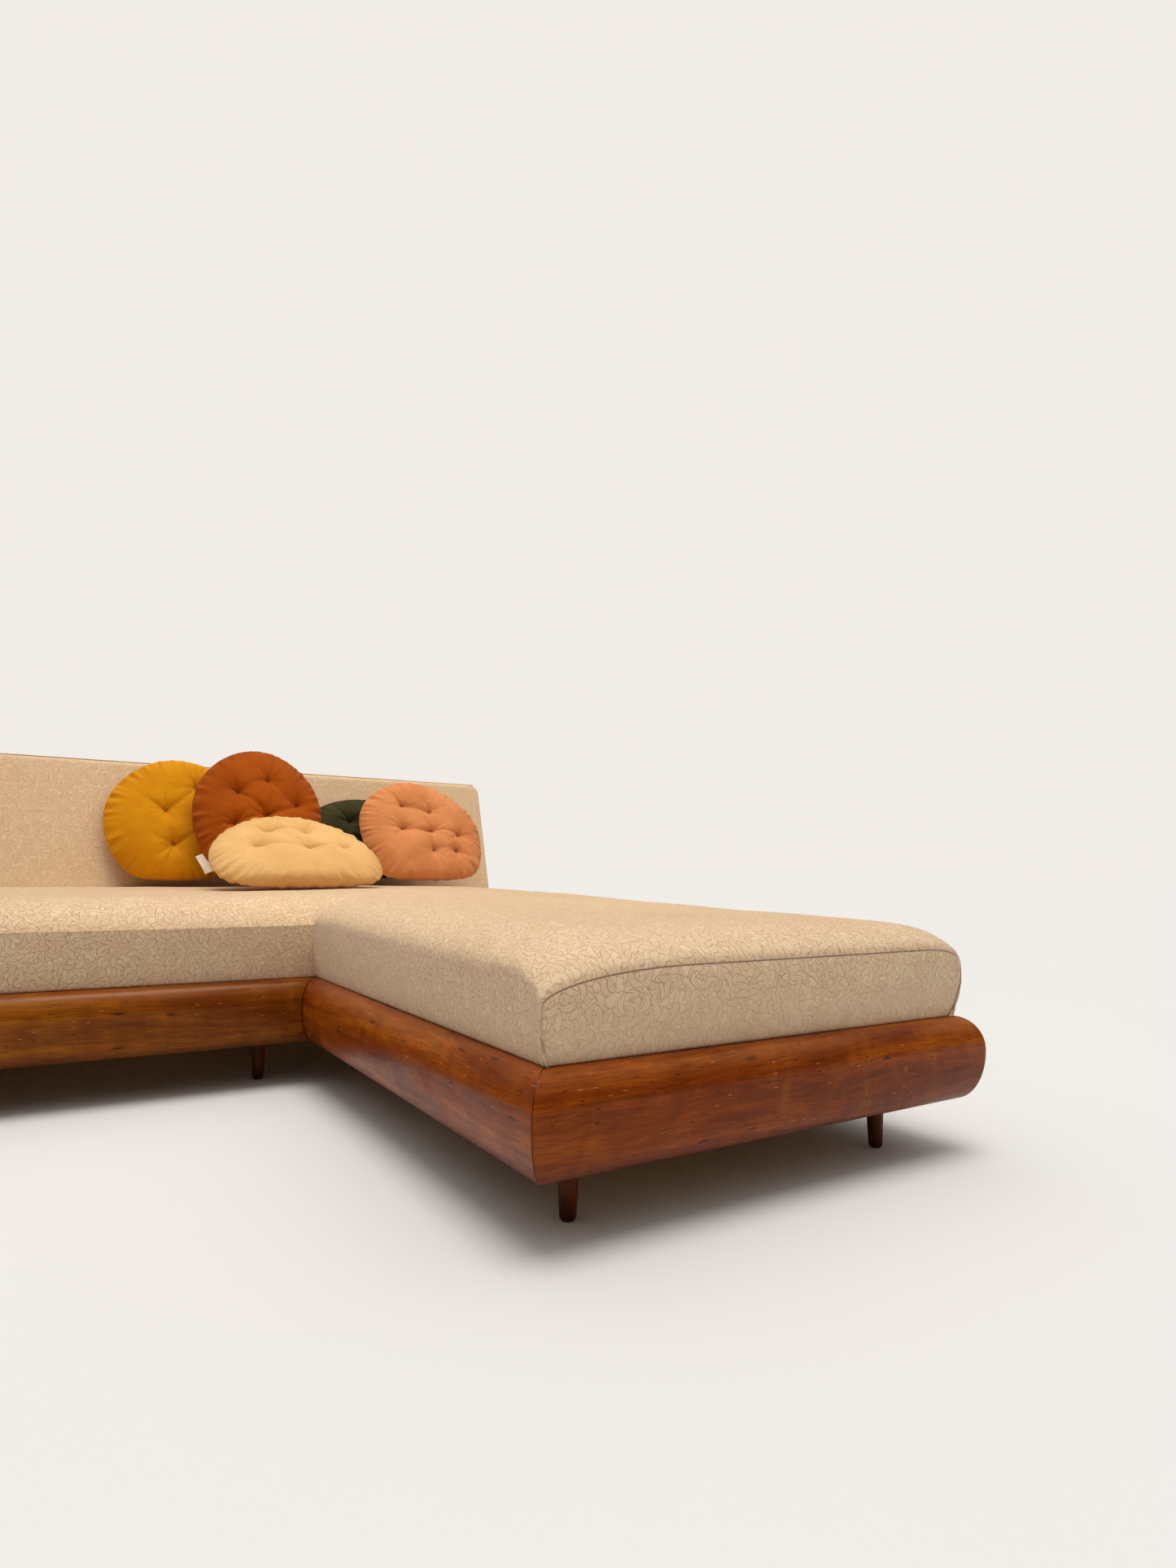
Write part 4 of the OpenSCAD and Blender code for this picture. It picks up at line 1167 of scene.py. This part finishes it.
C_COL = {
    "mustard": (lin(224, 152, 8), lin(208, 132, 3), lin(236, 176, 36)),
    "rust": (lin(174, 82, 2), lin(156, 70, 2), lin(194, 104, 18)),
    "green": (lin(66, 62, 34), lin(50, 48, 24), lin(90, 86, 56)),
    "peach": (lin(222, 146, 94), lin(206, 128, 76), lin(236, 172, 126)),
    "cream": (lin(230, 184, 122), lin(218, 170, 106), lin(240, 202, 150)),
}


def tufts_of(c):
    return np.array(c["tufts"], float)


def cushion(name, c):
    a, b, flat = c["a"], c["b"], c["flat"]
    T = tufts_of(c)
    rs = np.random.RandomState(c["seed"] * 7 + 1)
    nt, nr = 280, 60                                        # round the rim, centre to rim
    th = np.arange(nt) * 2 * math.pi / nt
    # uneven outline and the number of gathers round the rim
    out = 1 + 0.010 * np.sin(2 * th + rs.uniform(0, 6)) + 0.008 * np.sin(3 * th + rs.uniform(0, 6)) + 0.006 * np.sin(5 * th + rs.uniform(0, 6))
    gath = np.zeros(nt)
    for f, am in ((23, 0.5), (31, 0.7), (41, 0.6), (57, 0.45), (71, 0.3)):
        gath += am * np.sin(f * th + rs.uniform(0, 6)) * (0.65 + 0.35 * np.sin(2 * th + rs.uniform(0, 6)))
    rho = np.sin(np.linspace(0, math.pi / 2, nr)) ** 0.92    # denser towards the rim
    rho[0] = 0.0
    H = CUSHION_T / 2 - 1.0

    def surface(sgn):
        P, cav = [], []
        for k in range(nr):
            r = rho[k]
            for t in range(nt if k else 1):
                ct, st_ = math.cos(th[t]), math.sin(th[t])
                # the lower half is squarer, where the weight sits
                e_ = 2.0 + (c["sq"] - 2.0) * min(1.0, max(0.0, 0.25 - 1.25 * st_))
                k_ = (abs(ct) ** e_ + abs(st_) ** e_) ** (-1.0 / e_)
                x = a * r * ct * k_ * out[t]
                lo_ = c.get("low", 0.0)      # widest line, below or above the middle
                y = r * (st_ * k_ * out[t] * (b - lo_ if st_ > 0 else b + lo_) + lo_)
                x += c["lean"] * a * (y / b) * 0.5
                P.append((x, y))
                cav.append(r)
        P = np.array(P)
        r = np.array(cav)
        thp = np.concatenate([[0.0], np.tile(th, nr - 1)])
        g = np.interp(np.mod(thp, 2 * math.pi), np.append(th, 2 * math.pi), np.append(gath, gath[0]))
        # lens, full near the rim
        h = H * (1 - r ** 3.4) ** 0.62
        # tufts: a steep pit with creases that run out from it
        pit = np.zeros(len(P))
        depth = np.zeros(len(P))
        for ti, (tx, ty) in enumerate(T):
            dx, dy = P[:, 0] - tx, P[:, 1] - ty
            d = np.hypot(dx, dy)
            an = np.arctan2(dy, dx)
            w = 0
            for f, am in ((5, 0.9), (7, 0.7), (11, 0.5), (3, 0.6)):
                w = w + am * np.sin(f * an + rs.uniform(0, 6.28))
            crease = np.maximum(w, 0) * np.exp(-((d - 16) / 34.0) ** 2) * 1.9
            depth += 20.0 * np.exp(-(d / 21.0) ** 1.1) + crease
            pit = np.maximum(pit, np.exp(-(d / 6.5) ** 1.3))
        # folds from tuft to tuft and from the outer tufts to the rim
        fold = np.zeros(len(P))
        pairs = c["links"]
        for n_, (i, j) in enumerate(pairs):
            p, q = T[i], T[j]
            e = q - p
            L = np.hypot(*e)
            tt = np.clip(((P - p) @ e) / L ** 2, 0, 1)
            foot = p + tt[:, None] * e
            bow = 5.0 * np.sin(math.pi * tt) * rs.choice([-1, 1])
            nrm = np.array([-e[1], e[0]]) / L
            dd = (P - foot) @ nrm - bow
            along = np.hypot(*(P - foot - np.outer((P - foot) @ nrm, nrm)).T)
            dist = np.hypot(dd, along)
            sag = 0.55 + 0.45 * np.abs(2 * tt - 1)
            fold = np.maximum(fold, (6.6 + rs.uniform(-1.2, 2.0)) * sag * np.exp(-(dist / 9.0) ** 1.4))
        mid_t = T.mean(0)
        for i in range(len(T)):
            p = T[i]
            u_ = p - mid_t
            u_ = u_ / max(1.0, np.hypot(*u_))
            for off in (-0.9, -0.35, 0.25, 0.8):
                ang = off + rs.uniform(-0.2, 0.2)
                e = np.array([u_[0] * math.cos(ang) - u_[1] * math.sin(ang), u_[0] * math.sin(ang) + u_[1] * math.cos(ang)])
                L = 62.0 + rs.uniform(-12, 12)
                tt = np.clip(((P - p) @ e) / L, 0, 1)
                foot = p + np.outer(tt * L, e)
                dist = np.hypot(*(P - foot).T)
                fold = np.maximum(fold, (4.8 if abs(off) < 0.4 else 3.2) * (1 - tt) ** 0.7 * np.exp(-(dist / 6.0) ** 1.5))
        depth = depth + fold
        depth = np.minimum(depth, H - 9.0) * (1 - r ** 8)
        # gathers along the sewn rim
        band = np.exp(-((1 - r) / 0.13) ** 1.6) * (1 - np.exp(-((1 - r) / 0.012)))
        gz = g * 4.4 * band
        low = fbm(np.stack([P[:, 0], P[:, 1], np.full(len(P), 40.0 * sgn + 100 * c["seed"])], 1), 70.0, 3, c["seed"] * 1.0)
        z = np.maximum(h - depth + gz + 2.4 * low * (1 - r ** 6), 0.0)
        if name == "cream" or name == "green":
            pass
        z = z * (1.0 if sgn > 0 else 0.92)
        # mask for the painted shade in the tuft pits, along the folds and in the inward gathers of the rim
        hollow_shade = np.clip(pit + 0.55 * np.clip(fold / 9.0, 0, 1) ** 1.5 + np.clip(-g, 0, 1) * band * 0.35, 0, 1)
        # the rim itself
        x = P[:, 0] * (1 + 0.006 * g * band / max(1e-6, 1))
        y = P[:, 1] * (1 + 0.006 * g * band)
        return np.stack([x, y, sgn * z], 1), hollow_shade, r
    F, cf, rf = surface(1)
    B, cb, rb = surface(-1)
    n_in = len(F) - nt
    verts = np.vstack([F, B[:n_in]])
    cav = np.concatenate([cf, cb[:n_in]])
    faces, cuv = [], []

    def vi(sd, k, t):
        t %= nt
        i = 0 if k == 0 else 1 + (k - 1) * nt + t
        if sd < 0 and k < nr - 1:
            return len(F) + i
        return i
    for sd in (1, -1):
        for k in range(nr - 1):
            for t in range(nt):
                if k == 0:
                    q = [vi(sd, 0, 0), vi(sd, 1, t), vi(sd, 1, t + 1)]
                else:
                    q = [vi(sd, k, t), vi(sd, k + 1, t), vi(sd, k + 1, t + 1), vi(sd, k, t + 1)]
                faces.append(q if sd > 0 else q[::-1])
    # settle: the underside flattens on what it rests on
    yb = -b * flat
    y = verts[:, 1]
    under = smooth(yb + 60, yb, y)
    verts[:, 1] = np.where(y < yb + 26, yb + 26 * np.exp((y - yb - 26) / 26.0) * 0.999, y)
    verts[:, 1] = np.maximum(verts[:, 1], yb + 0.5)
    # weight gathers low down
    belly = np.exp(-((verts[:, 1] + 0.45 * b) / (0.5 * b)) ** 2)
    verts[:, 2] *= 1 + 0.10 * belly
    verts[:, 2] = np.clip(verts[:, 2], -H, H * 1.12)
    for f in faces:
        for k in f:
            cuv.append((verts[k][0] / 1000, verts[k][1] / 1000))
    t = math.radians(c["tilt"])
    R = np.array([[1, 0, 0], [0, math.sin(t), math.cos(t)], [0, -math.cos(t), math.sin(t)]])  # rows: local x, y, z axes
    W = verts @ R + np.array(c["at"], float)
    ob = mesh_object(name + "_cushion_cloth", cad(W), faces, cuv, True, {"painted_cavity_shade": cav})
    rgb, dark, lt = C_COL[name]
    ob.data.materials.append(plain_cloth(name + "_cotton", rgb, dark, lt))
    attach(ob, name + "_cushion")
    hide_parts(name + "_cover", name + "_filling")
    # tuft threads: small crossed stitches sunk in each pit
    tv, tf, tuv = [], [], []
    for (tx, ty) in T:
        for sg in (1, -1):
            col = F if sg > 0 else B
            d = np.hypot(col[:, 0] - tx, col[:, 1] - ty)
            zc = float(np.abs(col[np.argmin(d), 2])) + 0.6
            for ang in (0.6, 2.1):
                ca, sa = math.cos(ang), math.sin(ang)
                base = len(tv)
                for s in range(9):
                    u = -1 + 2 * s / 8
                    L = 4.2 * u
                    lift = 0.9 * (1 - u * u) + (0.25 if ang > 1 else 0)
                    for w in range(8):
                        aw = 2 * math.pi * w / 8
                        rx, rz = 0.55 * math.cos(aw), 0.55 * math.sin(aw)
                        tv.append((tx + ca * L - sa * rx, ty + sa * L + ca * rx, sg * (zc + lift + rz)))
                for s in range(8):
                    for w in range(8):
                        w2 = (w + 1) % 8
                        tf.append((base + s * 8 + w, base + (s + 1) * 8 + w, base + (s + 1) * 8 + w2, base + s * 8 + w2))
                        tuv += [(s / 8, w / 8), ((s + 1) / 8, w / 8), ((s + 1) / 8, (w + 1) / 8), (s / 8, (w + 1) / 8)]
                tf.append(tuple(base + w for w in range(8)))
                tuv += [(0, 0)] * 8
                tf.append(tuple(base + 64 + w for w in reversed(range(8))))
                tuv += [(0, 0)] * 8
    tw = np.array(tv) @ R + np.array(c["at"], float)
    # the stitches get an even painted shade, as if sunk in the pits
    th_o = mesh_object(name + "_tuft_stitches", cad(tw), tf, tuv, True, {"painted_cavity_shade": np.full(len(tv), 0.4)})
    th_o.data.materials.append(plain_cloth(name + "_thread", dark, tuple(x * 0.6 for x in dark), rgb, 2400.0))
    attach(th_o, name + "_cushion")
    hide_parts(name + "_tufts")
    return ob, R


for _name, _c in CUSHIONS.items():
    _ob, _R = cushion(_name, _c)
    if _name == "rust":
        RUST_R = _R


# ---------------------------------------------------------------- blank care label on the rust cushion
def label():
    c = CUSHIONS["rust"]
    nu, nv = 16, 30
    w, l = 30.0, 60.0
    verts, uv = [], []
    ang = math.radians(26)
    for i in range(nu + 1):
        for j in range(nv + 1):
            x = -w / 2 + w * i / nu
            y = -32 + l * j / nv
            curl = 2.2 * math.sin(0.05 * (y + 32) + 0.4) - 1.2 * (x / w) ** 2 + 0.5 * math.sin(0.31 * x + 0.12 * y)
            lx = -150 + x * math.cos(ang) - y * math.sin(ang)
            ly = -151 + x * math.sin(ang) + y * math.cos(ang)
            verts.append((lx, ly, curl + 0.6))
            uv.append((x / 1000, y / 1000))
    faces, cuv = [], []
    for i in range(nu):
        for j in range(nv):
            q = [i * (nv + 1) + j, (i + 1) * (nv + 1) + j, (i + 1) * (nv + 1) + j + 1, i * (nv + 1) + j + 1]
            faces.append(q)
            cuv += [uv[k] for k in q]
    W = np.array(verts) @ RUST_R + np.array(c["at"], float)
    o = mesh_object("blank_care_label", cad(W), faces, cuv, True)
    m = Mat("label_satin")
    u_, v_, _ = m.sep(m.uv())
    wv = m.math("SINE", m.mul(u_, 2 * math.pi * 2600.0))
    n = m.noise(m.vmul(m.uv(), (500.0, 2400.0, 1.0)), 1.0, 2.0, 0.6)
    col = m.mix(m.step(0.35, 0.7, n), lin(228, 214, 200), lin(244, 236, 226))
    m.set(Base_Color=col, Roughness=m.rng(n, 0.2, 0.8, 0.5, 0.65), Normal=m.bump(m.add(m.mul(wv, 0.3), n), 0.3, 0.0002))
    o.data.materials.append(m.m)
    sol = o.modifiers.new("thick", "SOLIDIFY")
    sol.thickness = 0.0004
    sol.offset = 0.0
    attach(o, "rust_cushion")
    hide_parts("rust_label")
    return o


label()


# ---------------------------------------------------------------- finishes on the carried-over parts
def finish_nodes():
    table = {
        "mitre_splines": M_TONGUE, "corner_blocks": M_PINE, "deck_cleats": M_PINE, "leg_bearers": M_PINE_Y,
        "deck_bearers": M_PINE_Y, "seat_deck": M_PLY, "chaise_deck": M_PLY, "deck_screws": M_STEEL,
        "leg_plates": M_STEEL, "hanger_bolts": M_STEEL, "leg_screws": M_STEEL, "foot_glides": M_GLIDE,
        "back_frame": M_PINE, "back_board": M_PLY, "back_foam": M_FOAM, "back_brackets": M_STEEL, "back_bolts": M_STEEL,
        "chaise_core": M_FOAM, "seat_core": M_FOAM, "mattress_cover": M_CLOTH, "back_cover": M_BACK,
    }
    for c in CUSHIONS:
        table[c + "_filling"] = M_FILL
    for n, o in frame["nodes"].items():
        mat = table.get(n)
        if mat is None:
            continue
        if len(o.material_slots) == 0:
            o.data.materials.append(mat)
        for s in o.material_slots:
            s.material = mat


finish_nodes()


# ---------------------------------------------------------------- floor, world and lights
def stage():
    bpy.ops.mesh.primitive_plane_add(size=120.0, location=(0, 0, 0))
    fl = bpy.context.object
    fl.name = "floor"
    m = Mat("floor_paint")
    n = m.noise(m.obj(), 1.2, 3.0, 0.5)
    col = m.mix(m.rng(n, 0.3, 0.7, 0.0, 1.0), (0.880, 0.852, 0.814), (0.886, 0.858, 0.820))
    m.set(Base_Color=col, Roughness=1.0, Specular_IOR_Level=0.0)
    fl.data.materials.append(m.m)
    fl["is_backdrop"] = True
    w = bpy.data.worlds.new("studio")
    scene.world = w
    w.use_nodes = True
    t = w.node_tree
    t.nodes.clear()
    out = t.nodes.new("ShaderNodeOutputWorld")
    seen = t.nodes.new("ShaderNodeBackground")
    seen.inputs[0].default_value = (*lin(241, 236, 230), 1.0)
    lit = t.nodes.new("ShaderNodeBackground")
    tc = t.nodes.new("ShaderNodeTexCoord")
    sp = t.nodes.new("ShaderNodeSeparateXYZ")
    t.links.new(tc.outputs["Generated"], sp.inputs[0])
    mr = t.nodes.new("ShaderNodeMapRange")
    mr.inputs["From Min"].default_value, mr.inputs["From Max"].default_value = 0.0, 1.0
    mr.inputs["To Min"].default_value, mr.inputs["To Max"].default_value = 0.015, 1.10
    sq = t.nodes.new("ShaderNodeMath")
    sq.operation = "POWER"
    sq.use_clamp = True
    sq.inputs[1].default_value = 1.9
    t.links.new(sp.outputs[2], sq.inputs[0])
    t.links.new(sq.outputs[0], mr.inputs[0])
    lit.inputs[0].default_value = (1.0, 0.992, 0.985, 1.0)
    t.links.new(mr.outputs[0], lit.inputs[1])
    lp = t.nodes.new("ShaderNodeLightPath")
    mx = t.nodes.new("ShaderNodeMixShader")
    t.links.new(lp.outputs["Is Camera Ray"], mx.inputs[0])
    t.links.new(lit.outputs[0], mx.inputs[1])
    t.links.new(seen.outputs[0], mx.inputs[2])
    t.links.new(mx.outputs[0], out.inputs[0])

    def area(name, loc, target, size, power, colour=(1, 1, 1)):
        d = bpy.data.lights.new(name, "AREA")
        d.shape = "DISK"
        d.size = size
        d.energy = power * 1.07
        d.color = colour
        o = bpy.data.objects.new(name, d)
        o.location = loc
        o.rotation_euler = (Vector(target) - Vector(loc)).to_track_quat("-Z", "Y").to_euler()
        scene.collection.objects.link(o)
        return o
    sun = bpy.data.lights.new("overhead", "SUN")
    sun.energy = 1.34
    sun.angle = math.radians(34)
    so = bpy.data.objects.new("overhead", sun)
    so.rotation_euler = (math.radians(9), math.radians(-5), 0)
    scene.collection.objects.link(so)
    lit_on = bpy.data.collections.new("lamps_light_these")
    for o_ in scene.objects:
        if o_.type == "MESH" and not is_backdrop(o_):
            lit_on.objects.link(o_)
    for l_ in (area("warm_lamp", (0.70, -0.15, 2.1), (0.70, -0.1, 0.4), 0.9, 7.5, (1.0, 0.76, 0.36)),
               area("lamp_left", (0.12, -0.35, 2.3), (0.0, 0.0, 0.3), 0.5, 3.0, (1.0, 0.93, 0.84)),
               area("lamp_right", (1.55, -0.10, 2.0), (0.6, -0.9, 0.3), 0.5, 3.0, (1.0, 0.93, 0.84))):
        l_.light_linking.receiver_collection = lit_on
    scene.view_settings.view_transform = "Standard"
    scene.view_settings.look = "None"
    scene.view_settings.exposure = 0.0
    scene.view_settings.gamma = 1.0


stage()
